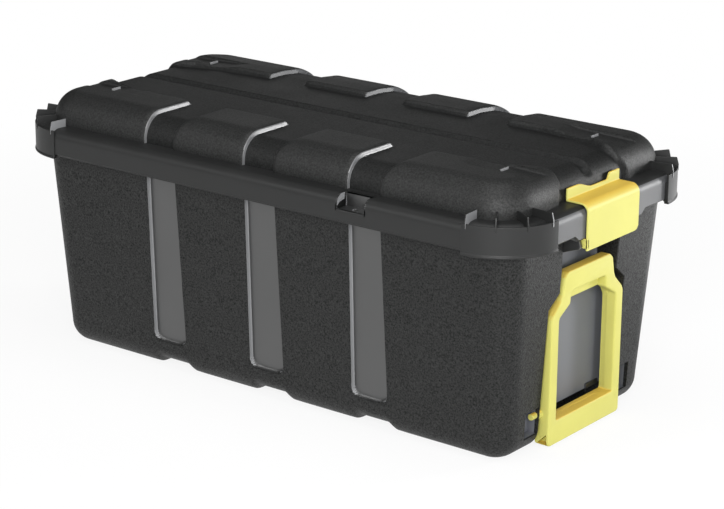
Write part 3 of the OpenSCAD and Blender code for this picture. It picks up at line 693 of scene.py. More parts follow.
def prism(outline, low, high, axis):
    """A closed outline carried along an axis: 0 takes (y, z), 1 takes (x, z), 2 takes (x, y)."""
    n = len(outline)
    order = {0: lambda a, b, t: (t, a, b), 1: lambda a, b, t: (a, t, b), 2: lambda a, b, t: (a, b, t)}[axis]
    verts = [order(a, b, low) for a, b in outline] + [order(a, b, high) for a, b in outline]
    faces = [list(range(n))[::-1], list(range(n, 2 * n))]
    faces += [[i, (i + 1) % n, n + (i + 1) % n, n + i] for i in range(n)]
    return verts, faces


def block(x0, x1, y0, y1, z0, z1):
    return prism([(x0, y0), (x1, y0), (x1, y1), (x0, y1)], z0, z1, 2)


def arc_points(cx, cy, r, start, end, steps):
    angles = [math.radians(lerp(start, end, i / steps)) for i in range(steps + 1)]
    return [(cx + r * math.cos(a), cy + r * math.sin(a)) for a in angles]


def rod(cx, cz, r, low, high, steps=28):
    return prism(arc_points(cx, cz, r, 0.0, 360.0, steps)[:-1], low, high, 1)


def mirrored(part, axis):
    verts, faces = part
    flipped = [tuple(-c if i == axis else c for i, c in enumerate(v)) for v in verts]
    return flipped, [f[::-1] for f in faces]


def at_corners(part):
    """A part at the +X +Y corner and its mirror images at the other three."""
    return [p for end in (part, mirrored(part, 0)) for p in (end, mirrored(end, 1))]


def assembly(name, parts, materials, bevel=0.8, segments=2, angle=SHARP):
    """One object from several closed solids, with rounded edges."""
    verts, faces = [], []
    for part_verts, part_faces in parts:
        start = len(verts)
        verts += list(part_verts)
        faces += [[start + k for k in face] for face in part_faces]
    mesh = bpy.data.meshes.new(name)
    mesh.from_pydata([tuple(c * MM for c in v) for v in verts], [], faces)
    ob = new_object(name, mesh, materials)
    bm = bmesh.new()
    bm.from_mesh(mesh)
    bmesh.ops.recalc_face_normals(bm, faces=bm.faces)
    bm.to_mesh(mesh)
    bm.free()
    shade_smooth(mesh, SHARP)
    if bevel:
        mod = ob.modifiers.new("edges", "BEVEL")
        mod.width = bevel * MM
        mod.segments = segments
        mod.limit_method = "ANGLE"
        mod.angle_limit = math.radians(angle)
        mod.harden_normals = True
    return ob


def highlight_end_faces(ob, least=0.9):
    """Give an object's faces toward the trunk's ends its second material, a light grey that paints the
    highlight they catch from the side.
    """
    for face in ob.data.polygons:
        if abs(face.normal.x) > least:
            face.material_index = 1
    return ob


def holed_plate(x0, x1, y0, y1, z0, z1, cx, cy, r):
    """A flat plate with a round hole through it."""
    n = 32
    verts, faces = [], []
    for i in range(n):
        a = math.radians(360.0 * (i + 0.5) / n)
        c, s = math.cos(a), math.sin(a)
        reach = min((x1 - cx) / c if c > 0 else (x0 - cx) / c, (y1 - cy) / s if s > 0 else (y0 - cy) / s)
        for z in (z0, z1):
            verts.append((cx + r * c, cy + r * s, z))
            verts.append((cx + reach * c, cy + reach * s, z))
    for i in range(n):
        a, b = 4 * i, 4 * ((i + 1) % n)
        faces += [[a, b, b + 1, a + 1], [a + 2, a + 3, b + 3, b + 2], [a, a + 2, b + 2, b],
                  [a + 1, b + 1, b + 3, a + 3]]
    return verts, faces


def notch_pan(name, grow, floor, top, rim, skirt, edge, materials):
    """Floor, sides and back of a notch over a padlock hole, for both long sides."""
    low, high, back = NOTCH_LOW_X - grow, NOTCH_HIGH_X + grow, -(NOTCH_IN - grow)
    under = floor - WALL
    side = [(-rim, skirt)] + [(y, z) for y, z in arc_points(-rim + edge, top - edge, edge, 180, 90, 8)]
    side += [(back + WALL, top), (back + WALL, under), (-rim, under)]
    side = side[1:]
    parts = [prism(side, low - WALL, low, 0), prism(side, high, high + WALL, 0),
             block(low - 0.5, high + 0.5, back, back + WALL, under + 0.1, top),
             holed_plate(low - 0.5, high + 0.5, -rim + 0.1, back + 0.5, under, floor,
                         GROOVE_PITCH, -RIM_HALF_Y + LOCK_IN, LOCK_R)]
    parts += [mirrored(mirrored(p, 0), 1) for p in parts]
    return assembly(name, parts, materials, bevel=0.5)


def sweep_ring(section, cx, cy, start, end, steps):
    """A closed section (radius, height) turned about an upright axis through part of a turn."""
    n = len(section)
    verts = []
    for i in range(steps + 1):
        a = math.radians(lerp(start, end, i / steps))
        verts += [(cx + r * math.cos(a), cy + r * math.sin(a), z) for r, z in section]
    faces = grid_faces(steps + 1, n, wrap_v=True).tolist()
    faces += [list(range(n)), list(range(steps * n, (steps + 1) * n))[::-1]]
    return verts, faces


def corner_guards(materials):
    """Round guards at the lid's corners, each with a trough behind its lip and a bead at its foot."""
    low, top, r = GUARD_FOOT, GUARD_TOP, GUARD_R
    inner = RIM_CORNER - WALL + 1.0
    section = [(inner, low), (r, low), (r, low + BEAD), (r - BEAD_IN, low + BEAD + BEAD_SLOPE),
               (r - BEAD_IN, top), (r - LIP_T, top), (r - LIP_T, top - TROUGH), (inner, top - TROUGH)]
    parts = at_corners(sweep_ring(section, GUARD_X, GUARD_Y, 0.0, 90.0, 30))
    return assembly("corner_guards", parts, materials, bevel=1.0, segments=3)


def corner_ribs(materials):
    """Upright ribs from the crown out to the guards, fanned round each corner."""
    cx, cy = RIM_X, RIM_Y
    gx, gy = GUARD_X - cx, GUARD_Y - cy
    parts = []
    for angle in RIB_ANGLES:
        t = math.radians(angle)
        u, v = math.cos(t), math.sin(t)
        b = gx * u + gy * v
        reach = b + math.sqrt(max(b * b - gx * gx - gy * gy + (GUARD_R - RIB_SHORT) ** 2, 0.0))
        outline = [(RIB_IN, RIB_TOP), (RIB_IN, FLANGE_Z - 1.0), (RIM_CORNER - 16.0, FLANGE_Z - 1.0),
                   (RIM_CORNER - 5.0, FLANGE_Z - 8.0), (reach, FLANGE_Z - 8.0), (reach, GUARD_TOP + 3.0),
                   (reach - 3.0, RIB_TOP)]
        verts, faces = prism(outline, -RIB_T / 2, RIB_T / 2, 1)
        parts += at_corners(([(cx + x * u - y * v, cy + x * v + y * u, z) for x, y, z in verts], faces))
    return assembly("corner_ribs", parts, materials, bevel=0.7)


def seat_stops(materials):
    """A short upright bar across each stacking seat."""
    parts = []
    for s in (1, -1):
        for t in (1, -1):
            x0, x1 = sorted((s * (STOP_X - STOP_T), s * STOP_X))
            y0, y1 = sorted((t * (STOP_Y - STOP_HALF), t * (STOP_Y + STOP_HALF)))
            parts.append(block(x0, x1, y0, y1, STOP_TOP - STOP_DEEP, STOP_TOP))
    return assembly("seat_stops", parts, materials, bevel=0.9, segments=3)


def tub_rim(materials):
    """Flange, rounding and hanging lip round the tub's mouth, under the lid."""
    cx0, cy0 = TUB_HALF_X + END_RISE - TUB_CORNER, TUB_HALF_Y + SIDE_RISE - TUB_CORNER
    sx, sy = RIM_X, RIM_Y
    low, high = NOTCH_LOW_X - PAN_GAP, NOTCH_HIGH_X + PAN_GAP
    xs = spread([(s * at, [0.03], [0.03]) for s in (1, -1) for at in (low, high)], -sx, sx, 25.0)
    ys = spread([drop_lines(s) for s in (1, -1)], -sy, sy, 20.0)
    cols = ring_columns(xs, ys, 15)
    along, _, end, corner, _, notch = ring_places(cols, low, high)
    edge = SKIRT_ROUND - LIP_OUT
    floor, lip = NOTCH_Z - PAN_GAP, RIM_CORNER - LIP_OUT
    rows = [(cx0, cy0, TUB_CORNER - WALL, TUB_TOP, "flange"),
            (sx, sy, NOTCH_IN - PAN_GAP - sy, TUB_TOP, "flange")]
    for a in range(0, 91, 10):
        t = math.radians(a)
        rows.append((sx, sy, RIM_CORNER - SKIRT_ROUND + edge * math.sin(t),
                     TUB_TOP - edge * (1 - math.cos(t)), "turn"))
    rows.append((sx, sy, lip, floor, "turn"))
    foot = SKIRT_FOOT - LIP_SHOW - skirt_drop(along, end, corner)
    for t, inward in ((0.3, 0.0), (0.95, 0.0), (1.0, 0.5)):
        rows.append((sx, sy, lip - inward, lerp(floor, foot, t), "lip"))
    grid = []
    for cx, cy, r, z, kind in rows:
        base = ring_point(cols, cx, cy, r, cx / sx, cy / sy)
        grid.append(np.stack([base[:, 0], base[:, 1], z * np.ones(len(cols))], axis=1))
    faces = ring_faces([row[4] for row in rows], notch)
    return thicken(mesh_object("tub_rim", np.concatenate(grid), faces, materials, sharp=SHARP_SHELL))


def clip_brackets(materials):
    """Cheeks beside each clip and the bar between them."""
    high = TUB_TOP - WALL
    lip = RIM_HALF_X - LIP_OUT - 1.0
    parts = []
    for s, wall_low, wall_high in ((1, RECESS_X - 1, RECESS_X - 1), (-1, 461.0, 464.0)):
        outline = [(s * x, z) for x, z in (
            (wall_low, BAR_Z - 30.0), (BAR_X - 1, BAR_Z - CHEEK_R), (BAR_X + 3.0, BAR_Z - CHEEK_R + 0.8),
            (BAR_X + CHEEK_R - 0.8, BAR_Z - 3.0), (BAR_X + CHEEK_R, BAR_Z), (lip, SKIRT_FOOT - 12.0),
            (lip, high - SKIRT_ROUND), (wall_high, high + 1))]
        for side in (1, -1):
            a, b = sorted((side * CHEEK_Y, side * (CHEEK_Y + CHEEK_T)))
            parts.append(prism(outline, a, b, 1))
        parts.append(rod(s * BAR_X, BAR_Z, BAR_R, -CHEEK_Y - 1, CHEEK_Y + 1))
    return assembly("clip_brackets", parts, materials, bevel=0.8)


def handle_rests(materials):
    """Pads at the foot of the recess, behind the handle's bar."""
    parts = []
    for s in (1, -1):
        a, b = sorted((s * REST_Y, s * (REST_Y + REST_W)))
        parts.append(block(RECESS_X - 0.5, RECESS_X + REST_T, a, b, WELL_Z, WELL_Z + REST_H))
    return assembly("handle_rests", parts, materials, bevel=0.9)


def clip_section(grip, foot):
    """Section of a clip as (x, z): plate, bend, arm and grip wall."""
    out, inn, over, under = CLIP_OUT, CLIP_OUT - CLIP_T, CLIP_OVER, CLIP_OVER - CLIP_T
    bend, tip, heel, crest = CLIP_BEND, 0.8, 2.2, 1.4
    back = CLIP_OUT - CLIP_REACH
    front = back + CLIP_T
    pts = [(out, foot + tip), (out, over - bend)]
    pts += arc_points(out - bend, over - bend, bend, 9, 90, 9)
    pts += [(front + heel, over)]
    pts += arc_points(front + heel, over + heel, heel, 270, 180, 4)[1:]
    pts += [(front, grip - crest)]
    pts += arc_points(front - crest, grip - crest, crest, 30, 90, 2)
    pts += arc_points(back + crest, grip - crest, crest, 90, 180, 3)
    pts += [(back, under + 1.2), (back + 0.4, under + 0.3), (back + 1.2, under), (out - bend, under)]
    pts += arc_points(out - bend, over - bend, bend - CLIP_T, 90, 0, 7)[1:]
    pts += [(inn, foot + tip), (inn + tip, foot), (out - tip, foot)]
    return pts


def clip(name, turn, materials):
    """A clip: its section carried along Y with soft ends, three barrels on its bar and a lug."""
    half, edge = CLIP_HALF, [0.3, 0.8, 1.6]
    ys = spread([(-half, [], edge), (half, edge, []), (half - CLIP_ROUND, [0.0], [2.0])], -half, half, 3.0)
    sections = []
    for y in ys:
        dip = smooth(np.float64((y + GRIP_FALL_FROM) / GRIP_FALL_OVER))
        rise = smooth(np.float64((y - GRIP_RISE_FROM) / GRIP_RISE_OVER))
        grip = CLIP_GRIP_LOW + (CLIP_GRIP_HIGH - CLIP_GRIP_LOW) * (1 - dip + rise)
        d = max(y - (half - CLIP_ROUND), 0.0)
        foot = CLIP_FOOT + CLIP_ROUND - math.sqrt(max(CLIP_ROUND ** 2 - d * d, 0.0))
        short = max(1 - (half - abs(y)) / CLIP_SOFT, 0.0)
        soft = CLIP_SOFT * (1 - math.sqrt(max(1 - short ** 2, 0.0)))
        pts = clip_section(float(grip), foot)
        if soft > 0:
            pts = inset(pts, min(soft, CLIP_SOFT_MOST))
        sections.append([(x, y, z) for x, z in pts])
    n = len(sections[0])
    last = (len(sections) - 1) * n
    faces = grid_faces(len(sections), n, wrap_v=True).tolist()
    faces += [list(range(n))[::-1], list(range(last, last + n))]
    parts = [([p for section in sections for p in section], faces)]
    for y in BARRELS_Y:
        low, high = y - BARREL_HALF, y + BARREL_HALF
        parts.append(rod(BAR_X, BAR_Z, BARREL_R, low, high))
        parts.append(block(BAR_X, CLIP_OUT - 1.0, low, high, BAR_Z - BARREL_R + 0.5, BAR_Z + 2.0))
    parts.append(block(BAR_X + 1.0, CLIP_OUT, -LUG_OUT, LUG_T - LUG_OUT, LUG_LOW, LUG_HIGH))
    ob = assembly(name, parts, materials, bevel=0.6, angle=SHARP_CLIP)
    if turn:
        ob.matrix_world = Matrix.Rotation(math.pi, 4, "Z")
    return ob


def inset(points, by):
    """A closed outline drawn in by a small distance."""
    n = len(points)
    following = points[1:] + points[:1]
    area = sum(a * d - c * b for (a, b), (c, d) in zip(points, following))
    side = 1.0 if area > 0 else -1.0
    out = []
    for i in range(n):
        (ax, az), (bx, bz), (cx, cz) = points[i - 1], points[i], points[(i + 1) % n]
        tx, tz = cx - ax, cz - az
        length = math.hypot(tx, tz) or 1.0
        out.append((bx - side * tz / length * by, bz + side * tx / length * by))
    return out


def outline_plate(name, outlines, depth, bevel):
    """A flat plate from closed outlines (the first outside, the rest holes), with rounded edges."""
    curve = bpy.data.curves.new(name, "CURVE")
    curve.dimensions = "2D"
    curve.fill_mode = "BOTH"
    curve.extrude = (depth / 2 - bevel) * MM
    curve.bevel_depth = bevel * MM
    curve.bevel_resolution = 3
    curve.offset = -bevel * MM
    for pts in outlines:
        sp = curve.splines.new("POLY")
        sp.points.add(len(pts) - 1)
        for p, (a, b) in zip(sp.points, pts):
            p.co = (a * MM, b * MM, 0.0, 1.0)
        sp.use_cyclic_u = True
    temp = bpy.data.objects.new(name + "_curve", curve)
    bpy.context.scene.collection.objects.link(temp)
    mesh = bpy.data.meshes.new_from_object(temp.evaluated_get(bpy.context.evaluated_depsgraph_get()))
    bpy.data.objects.remove(temp)
    return mesh


def soft_outline(half, steps=6):
    """A closed outline with rounded corners, from its +Y half as (half width, height, radius)."""
    whole = list(half) + [(-a, b, r) for a, b, r in reversed(half)]
    points = [np.array(corner[:2]) for corner in whole]
    out = []
    for i, p in enumerate(points):
        a, b, r = points[i - 1], points[(i + 1) % len(points)], whole[i][2]
        u, v = (a - p) / np.linalg.norm(a - p), (b - p) / np.linalg.norm(b - p)
        cosine = float(np.clip(u @ v, -1.0, 1.0))
        if r <= 0 or abs(cosine) > 0.9995:
            out.append(tuple(p))
            continue
        half = math.acos(cosine) / 2
        run = r / math.tan(half)
        middle = p + (u + v) / np.linalg.norm(u + v) * r / math.sin(half)
        s, e = p + u * run - middle, p + v * run - middle
        total = math.acos(float(np.clip(s @ e / r / r, -1.0, 1.0)))
        for k in range(steps + 1):
            t = k / steps
            w = (math.sin((1 - t) * total) * s + math.sin(t * total) * e) / math.sin(total)
            out.append(tuple(middle + w))
    return out


def cut_out(ob, parts):
    """Take closed solids away from an object for good."""
    cutter = assembly("cutter", parts, [], bevel=0.0)
    mod = ob.modifiers.new("cut", "BOOLEAN")
    mod.operation = "DIFFERENCE"
    mod.solver = "EXACT"
    mod.use_self = True
    mod.object = cutter
    cut = bpy.data.meshes.new_from_object(ob.evaluated_get(bpy.context.evaluated_depsgraph_get()))
    old, old_cutter = ob.data, cutter.data
    ob.modifiers.clear()
    ob.data = cut
    bpy.data.objects.remove(cutter)
    for mesh in (old, old_cutter):
        bpy.data.meshes.remove(mesh)


def tow_handle(materials):
    """Front plate, deeper legs with arched gussets, foot bar, bosses and pegs."""
    plate = outline_plate("handle_plate", [soft_outline(PLATE_OUTER), soft_outline(PLATE_HOLE)],
                          PLATE_T, PLATE_ROUND)
    legs = outline_plate("handle_legs", [soft_outline(LEG_OUTER), soft_outline(LEG_HOLE)],
                         LEG_T, LEG_ROUND)
    upright = Matrix(((0, 0, 1, 0), (1, 0, 0, 0), (0, 1, 0, 0), (0, 0, 0, 1)))
    bm = bmesh.new()
    for mesh, mid in ((plate, HANDLE_FRONT - PLATE_T / 2), (legs, HANDLE_BACK + LEG_T / 2)):
        mesh.transform(Matrix.Translation((mid * MM, 0, 0)) @ upright)
        bm.from_mesh(mesh)
        bpy.data.meshes.remove(mesh)
    bmesh.ops.remove_doubles(bm, verts=bm.verts, dist=1e-6)
    bmesh.ops.recalc_face_normals(bm, faces=bm.faces)
    mesh = bpy.data.meshes.new("tow_handle_frame")
    bm.to_mesh(mesh)
    bm.free()
    ob = new_object("tow_handle_frame", mesh, materials)
    cut_out(ob, [prism(HOLLOW, *sorted((s * HOLLOW_IN, s * HOLLOW_OUT)), 1) for s in (1, -1)])
    shade_smooth(ob.data, SHARP_HANDLE)
    parts = []
    for s in (1, -1):
        for r, reach in ((BOSS_R, HANDLE_HALF + BOSS_LEN), (PEG_R, PEG_TIP)):
            parts.append(rod(PIVOT_X, PIVOT_Z, r, *sorted((s * (HANDLE_HALF - 3.0), s * reach))))
    return ob, assembly("tow_handle_pegs", parts, materials, bevel=0.8)


def wheel(name, y, materials):
    """A turned wheel with a grooved tread, a spoked web and a hub."""
    half, n_turns = WHEEL_HALF_W, WHEEL_STEPS
    profile = [(4.1, half - 0.6), (4.7, half), (8.3, half), (9.1, half - 0.8), (9.1, 6.6), (10.4, 6.0),
               (22.6, 6.0), (23.6, 6.8), (24.0, half - 0.8), (24.6, half), (29.6, half),
               (31.2, half - 1.2), (32.0, half - 3.0), (32.0, 2.2), (31.2, 1.4), (31.2, 0.0)]
    pts = profile + [(r, -h) for r, h in reversed(profile[:-1])]
    verts = []
    for i in range(n_turns):
        a = 2 * math.pi * i / n_turns
        verts += [(WHEEL_X + r * math.cos(a), y + h, WHEEL_Z + r * math.sin(a)) for r, h in pts]
    parts = [(verts, grid_faces(n_turns, len(pts), wrap_u=True, wrap_v=True).tolist())]
    outline = [(8.6, -SPOKE_HALF), (24.2, -SPOKE_HALF), (24.2, SPOKE_HALF), (8.6, SPOKE_HALF)]
    for k in range(SPOKES):
        a = 2 * math.pi * k / SPOKES
        c, s = math.cos(a), math.sin(a)
        for low, high in ((5.4, half - 2.5), (2.5 - half, -5.4)):
            v, f = prism(outline, low, high, 1)
            parts.append(([(WHEEL_X + px * c - pz * s, y + py, WHEEL_Z + px * s + pz * c)
                           for px, py, pz in v], f))
    return assembly(name, parts, materials, bevel=0.0)


# Sizes of the noise in plastic, per metre, and how far it shifts the surface
PATCH_SCALE, WAVE_SCALE, SPECK_SCALE, GRAIN_SCALE, FINE_SCALE = 9.0, 26.0, 360.0, 430.0, 500.0
GLOSS_RANGE, WAVE_STRENGTH = 0.05, 0.04
# How far up a face looks where the painted shade on the yellow's tops starts, and where it is strongest
SHADED_TOP_FACING = (0.25, 0.95)


def shader(name):
    """A new material with its node tree, principled shader and object coordinates."""
    mat = bpy.data.materials.new(name)
    mat.use_nodes = True
    tree = mat.node_tree
    bsdf = tree.nodes["Principled BSDF"]
    coords = tree.nodes.new("ShaderNodeTexCoord")
    return mat, tree, bsdf, coords.outputs["Object"]


def add_node(tree, kind, values, links):
    """A new node with some sockets set to values and others linked to outputs."""
    node = tree.nodes.new("ShaderNode" + kind)
    for socket, value in values.items():
        node.inputs[socket].default_value = value
    for socket, source in links.items():
        tree.links.new(source, node.inputs[socket])
    return node


def noise(tree, coords, scale, detail, rough):
    values = {"Scale": scale, "Detail": detail, "Roughness": rough}
    return add_node(tree, "TexNoise", values, {"Vector": coords}).outputs["Fac"]


def ramp(tree, source, low, high, to_low, to_high):
    values = {"From Min": low, "From Max": high, "To Min": to_low, "To Max": to_high}
    return add_node(tree, "MapRange", values, {"Value": source}).outputs["Result"]


def tint(tree, factor, dark, light):
    node = tree.nodes.new("ShaderNodeMix")
    node.data_type = "RGBA"
    node.inputs[6].default_value = (*dark, 1.0)
    node.inputs[7].default_value = (*light, 1.0)
    tree.links.new(factor, node.inputs["Factor"])
    return node.outputs[2]


def bump(tree, height, strength, distance, under=None):
    links = {"Height": height} if under is None else {"Height": height, "Normal": under}
    return add_node(tree, "Bump", {"Strength": strength, "Distance": distance}, links).outputs["Normal"]


def combine(tree, operation, a, b):
    node = add_node(tree, "Math", {}, {0: a, 1: b})
    node.operation = operation
    return node.outputs[0]


def plastic(name, dark, light, rough, grain, scale, specular, ior=1.5, mottle=0.0, top=None):
    """Moulded plastic: fine grain, faint waves, patches of different gloss, and, if a top colour is given,
    painted shade: faces turned upward are tinted towards that colour.
    """
    mat, tree, bsdf, coords = shader(name)
    patches = noise(tree, coords, PATCH_SCALE, 4.0, 0.6)
    fine = noise(tree, coords, scale, 3.0, 0.65)
    broad = noise(tree, coords, WAVE_SCALE, 2.0, 0.4)
    colour = tint(tree, ramp(tree, patches, 0.3, 0.7, 0.0, 1.0), dark, light)
    if top:
        # Painted shade: faces turned upward are tinted towards top, as the yellow's tops look orange in
        # shade.
        facing = tree.nodes.new("ShaderNodeSeparateXYZ")
        normals = tree.nodes.new("ShaderNodeNewGeometry")
        tree.links.new(normals.outputs["Normal"], facing.inputs[0])
        painted_top_shade = tint(tree, ramp(tree, facing.outputs["Z"], *SHADED_TOP_FACING, 0.0, 1.0), dark, top)
        tree.links.new(colour, painted_top_shade.node.inputs["A"])
        colour = painted_top_shade
    tree.links.new(colour, bsdf.inputs["Base Color"])
    gloss = ramp(tree, patches, 0.25, 0.75, rough - GLOSS_RANGE, rough + GLOSS_RANGE)
    tree.links.new(gloss, bsdf.inputs["Roughness"])
    waves = bump(tree, broad, WAVE_STRENGTH, 0.002)
    tree.links.new(bump(tree, fine, grain, 0.0008, waves), bsdf.inputs["Normal"])
    if mottle:
        specks = noise(tree, coords, SPECK_SCALE, 2.0, 0.7)
        shine = ramp(tree, specks, 0.3, 0.7, specular * (1 - mottle), specular * (1 + mottle))
        tree.links.new(shine, bsdf.inputs["Specular IOR Level"])
    else:
        bsdf.inputs["Specular IOR Level"].default_value = specular
    bsdf.inputs["IOR"].default_value = ior
    return mat


def scuffed(name, base, rough, metallic):
    """Turned metal or rubber with fine scratches."""
    mat, tree, bsdf, coords = shader(name)
    patches = noise(tree, coords, 60.0, 4.0, 0.6)
    lines = add_node(tree, "TexWave", {"Scale": 160.0, "Distortion": 3.0}, {"Vector": coords})
    darker = tuple(0.75 * c for c in base)
    tree.links.new(tint(tree, patches, darker, base), bsdf.inputs["Base Color"])
    tree.links.new(ramp(tree, patches, 0.3, 0.7, rough - 0.08, rough + 0.08), bsdf.inputs["Roughness"])
    tree.links.new(bump(tree, lines.outputs["Fac"], 0.1, 0.0002), bsdf.inputs["Normal"])
    bsdf.inputs["Metallic"].default_value = metallic
    return mat


grained = plastic("black_grained", (0.009, 0.0095, 0.0092), (0.011, 0.0115, 0.0112),
                  0.55, 0.8, GRAIN_SCALE, 0.34, mottle=0.8)
lid_grained = plastic("black_lid", (0.0080, 0.0084, 0.0082), (0.0095, 0.010, 0.0098),
                      0.55, 0.5, GRAIN_SCALE, 0.30, mottle=0.5)
pad_grained = plastic("black_pads", (0.0108, 0.0113, 0.011), (0.0128, 0.0133, 0.013),
                      0.55, 0.5, GRAIN_SCALE, 0.44, mottle=0.5)
# Light grey for the pads' end walls: painted highlight.
pad_end_highlight = plastic("black_pad_end_highlight", (0.12, 0.122, 0.126), (0.14, 0.142, 0.146),
                   0.40, 0.05, FINE_SCALE, 1.0, ior=1.6)
satin = plastic("black_satin", (0.0125, 0.013, 0.013), (0.0145, 0.015, 0.015),
                0.40, 0.05, FINE_SCALE, 1.0, ior=1.62)
plain = plastic("black_plain", (0.0105, 0.011, 0.0108), (0.0125, 0.013, 0.0128),
                0.50, 0.10, GRAIN_SCALE, 0.46)
# Light grey for the end skirts: painted highlight from the side.
end_face_highlight = plastic("black_end_highlight", (0.070, 0.072, 0.076), (0.078, 0.080, 0.084),
                   0.50, 0.06, FINE_SCALE, 0.8)
# Light grey for small walls turned to the ends: painted highlight.
edge_highlight = plastic("black_edge_highlight", (0.21, 0.213, 0.22), (0.23, 0.233, 0.24),
                    0.50, 0.06, FINE_SCALE, 0.8)
# Light grey for the recess's floor and the peg pockets: painted light from the side.
recess_painted_light = plastic("black_recess_painted_light", (0.113, 0.119, 0.136), (0.123, 0.129, 0.146),
               0.55, 0.06, FINE_SCALE, 0.9)
# The top colour paints shade on the yellow's up-facing faces.
yellow = plastic("yellow_satin", (0.53, 0.505, 0.130), (0.57, 0.545, 0.145),
                 0.45, 0.06, 400.0, 0.20, top=(0.64, 0.44, 0.072))
tyre = scuffed("wheel_rubber", (0.03, 0.03, 0.032), 0.6, 0.0)
steel = scuffed("pin_steel", (0.55, 0.56, 0.58), 0.35, 1.0)


def belongs(obj, body, slot, *nodes):
    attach(obj, body)
    if nodes:
        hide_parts(*nodes)


belongs(tub_shell([grained, satin, recess_painted_light, edge_highlight]), "tub", "body_plastic", "tub")
belongs(tub_rim([plain]), "tub", "body_plastic")
belongs(clip_brackets([satin]), "tub", "body_plastic")
belongs(handle_rests([satin]), "tub", "body_plastic")
belongs(notch_pan("tub_notch_pans", PAN_GAP, NOTCH_Z - PAN_GAP, TUB_TOP, RIM_HALF_Y - LIP_OUT,
                  NOTCH_Z - PAN_GAP - WALL, SKIRT_ROUND - LIP_OUT, [satin]), "tub", "body_plastic")
belongs(lid_shell([pad_grained, pad_end_highlight, end_face_highlight, plain, lid_grained]), "lid", "body_plastic", "lid")
pans = notch_pan("lid_notch_pans", 0.0, NOTCH_Z, FLANGE_Z, RIM_HALF_Y, NOTCH_Z - WALL, SKIRT_ROUND,
                 [satin, edge_highlight])
belongs(highlight_end_faces(pans), "lid", "body_plastic")
belongs(corner_guards([plain]), "lid", "body_plastic")
belongs(highlight_end_faces(corner_ribs([plain, edge_highlight])), "lid", "body_plastic")
belongs(highlight_end_faces(seat_stops([satin, edge_highlight])), "lid", "body_plastic")
belongs(clip("clip_near_plate", False, [yellow]), "clip_near", "clip_plastic", "clip_near")
belongs(clip("clip_far_plate", True, [yellow]), "clip_far", "clip_plastic", "clip_far")
handle_frame, handle_pegs = tow_handle([yellow])
belongs(handle_frame, "tow_handle", "clip_plastic", "tow_handle")
belongs(handle_pegs, "tow_handle", "clip_plastic")
belongs(wheel("wheel_front_tyre", -WHEEL_Y, [tyre]), "wheel_front", "wheel_plastic", "wheel_front")
belongs(wheel("wheel_back_tyre", WHEEL_Y, [tyre]), "wheel_back", "wheel_plastic", "wheel_back")
for axle in ("axle_front", "axle_back"):
    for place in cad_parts[axle].material_slots:
        place.material = steel

# Floor, light and camera
scene = bpy.context.scene
FLOOR_HALF = 9.0
FLOOR_SHOWN, FLOOR_NEAR, FLOOR_FAR = 0.87, 0.8, 1.7
FLOOR_MIRRORED = 1.0


def floor():
    """White floor with a soft shadow; the camera sees it nearly white, and pure white far off."""
    corners = [(x * FLOOR_HALF, y * FLOOR_HALF, -0.5 * MM) for x, y in ((-1, -1), (1, -1), (1, 1), (-1, 1))]
    mesh = bpy.data.meshes.new("floor")
    mesh.from_pydata(corners, [], [(0, 1, 2, 3)])
    mat, tree, bsdf, _ = shader("floor_white")
    bsdf.inputs["Base Color"].default_value = (0.95, 0.95, 0.95, 1.0)
    bsdf.inputs["Roughness"].default_value = 0.9
    bsdf.inputs["Specular IOR Level"].default_value = 0.0
    glow = tree.nodes.new("ShaderNodeEmission")
    path = tree.nodes.new("ShaderNodeLightPath")
    place = tree.nodes.new("ShaderNodeNewGeometry")
    reach = tree.nodes.new("ShaderNodeVectorMath")
    reach.operation = "LENGTH"
    tree.links.new(place.outputs["Position"], reach.inputs[0])
    shown_part = ramp(tree, reach.outputs["Value"], FLOOR_NEAR, FLOOR_FAR, FLOOR_SHOWN, 1.0)
    seen = combine(tree, "MULTIPLY", path.outputs["Is Camera Ray"], shown_part)
    mirrored_part = ramp(tree, path.outputs["Is Glossy Ray"], 0.0, 1.0, 0.0, FLOOR_MIRRORED)
    either = combine(tree, "MAXIMUM", seen, mirrored_part)
    mix = add_node(tree, "MixShader", {}, {"Fac": either, 1: bsdf.outputs[0], 2: glow.outputs[0]})
    tree.links.new(mix.outputs[0], tree.nodes["Material Output"].inputs["Surface"])
    new_object("floor", mesh, [mat])


floor()


def lamp(name, at, target, size, power, spread):
    light = bpy.data.lights.new(name, "AREA")
    light.shape = "RECTANGLE"
    light.size, light.size_y = size
    light.energy = power
    light.spread = math.radians(spread)
    ob = bpy.data.objects.new(name, light)
    scene.collection.objects.link(ob)
    ob.location = at
    ob.visible_camera = False
    ob.rotation_euler = (Vector(target) - Vector(at)).to_track_quat("-Z", "Y").to_euler()


WORLD_LEVEL = 0.03
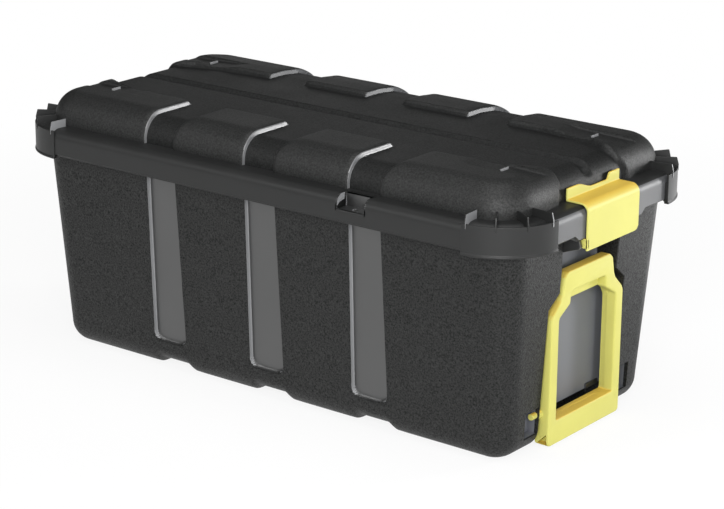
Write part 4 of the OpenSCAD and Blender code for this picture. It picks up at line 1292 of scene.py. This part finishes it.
# Name, place and aim in metres, size in metres, power in watts and spread in degrees
LAMPS = (
    ("softbox_top", (0.3, -0.6, 4.2), (0.0, 0.0, 0.0), (3.5, 3.5), 88.0, 180.0),
    ("softbox_low_right", (1.55, 1.85, 0.62), (0.3, 0.0, 0.4), (0.45, 0.45), 28.0, 180.0),
    ("softbox_left", (-1.8, -3.3, 2.2), (-0.5, -1.2, 0.0), (2.0, 1.6), 12.0, 90.0),
    ("softbox_front", (2.0, -2.8, 1.5), (0.3, -0.2, 0.2), (1.6, 1.2), 102.0, 180.0),
    ("softbox_side", (3.8, -0.4, 1.2), (0.5, 0.0, 0.3), (1.6, 1.2), 42.0, 180.0),
    ("strip_right", (0.80, 1.05, 0.02), (0.80, 1.05, 1.0), (0.9, 0.9), 5.0, 180.0),
    ("softbox_back", (-2.6, 3.2, 1.6), (0.0, 0.0, 0.4), (1.6, 1.2), 4.5, 180.0),
)
for settings in LAMPS:
    lamp(*settings)

world = bpy.data.worlds.new("white_studio")
scene.world = world
world.use_nodes = True
tree = world.node_tree
background = tree.nodes["Background"]
path = tree.nodes.new("ShaderNodeLightPath")
background.inputs["Color"].default_value = (1.0, 1.0, 1.0, 1.0)
level = ramp(tree, path.outputs["Is Camera Ray"], 0.0, 1.0, WORLD_LEVEL, 1.0)
tree.links.new(level, background.inputs["Strength"])

CAMERA_AT = (2.21526, -2.83119, 1.34211)
YAW, PITCH, ROLL = 0.6567, 0.3102, 0.0075
FOCAL_PX, WIDTH_PX = 2350.0, 724
SENSOR = 36.0
camera_data = bpy.data.cameras.new("camera")
camera_data.sensor_width = SENSOR
camera_data.lens = FOCAL_PX * SENSOR / WIDTH_PX
camera = bpy.data.objects.new("camera", camera_data)
scene.collection.objects.link(camera)
back = Vector((math.sin(YAW) * math.cos(PITCH), -math.cos(YAW) * math.cos(PITCH), math.sin(PITCH)))
right = Vector((math.cos(YAW), math.sin(YAW), 0.0))
up = back.cross(right)
tilted_right = right * math.cos(ROLL) + up * math.sin(ROLL)
tilted_up = up * math.cos(ROLL) - right * math.sin(ROLL)
turn = Matrix((tilted_right, tilted_up, back)).transposed()
camera.matrix_world = Matrix.Translation(CAMERA_AT) @ turn.to_4x4()
scene.camera = camera
scene.view_settings.view_transform = "Standard"
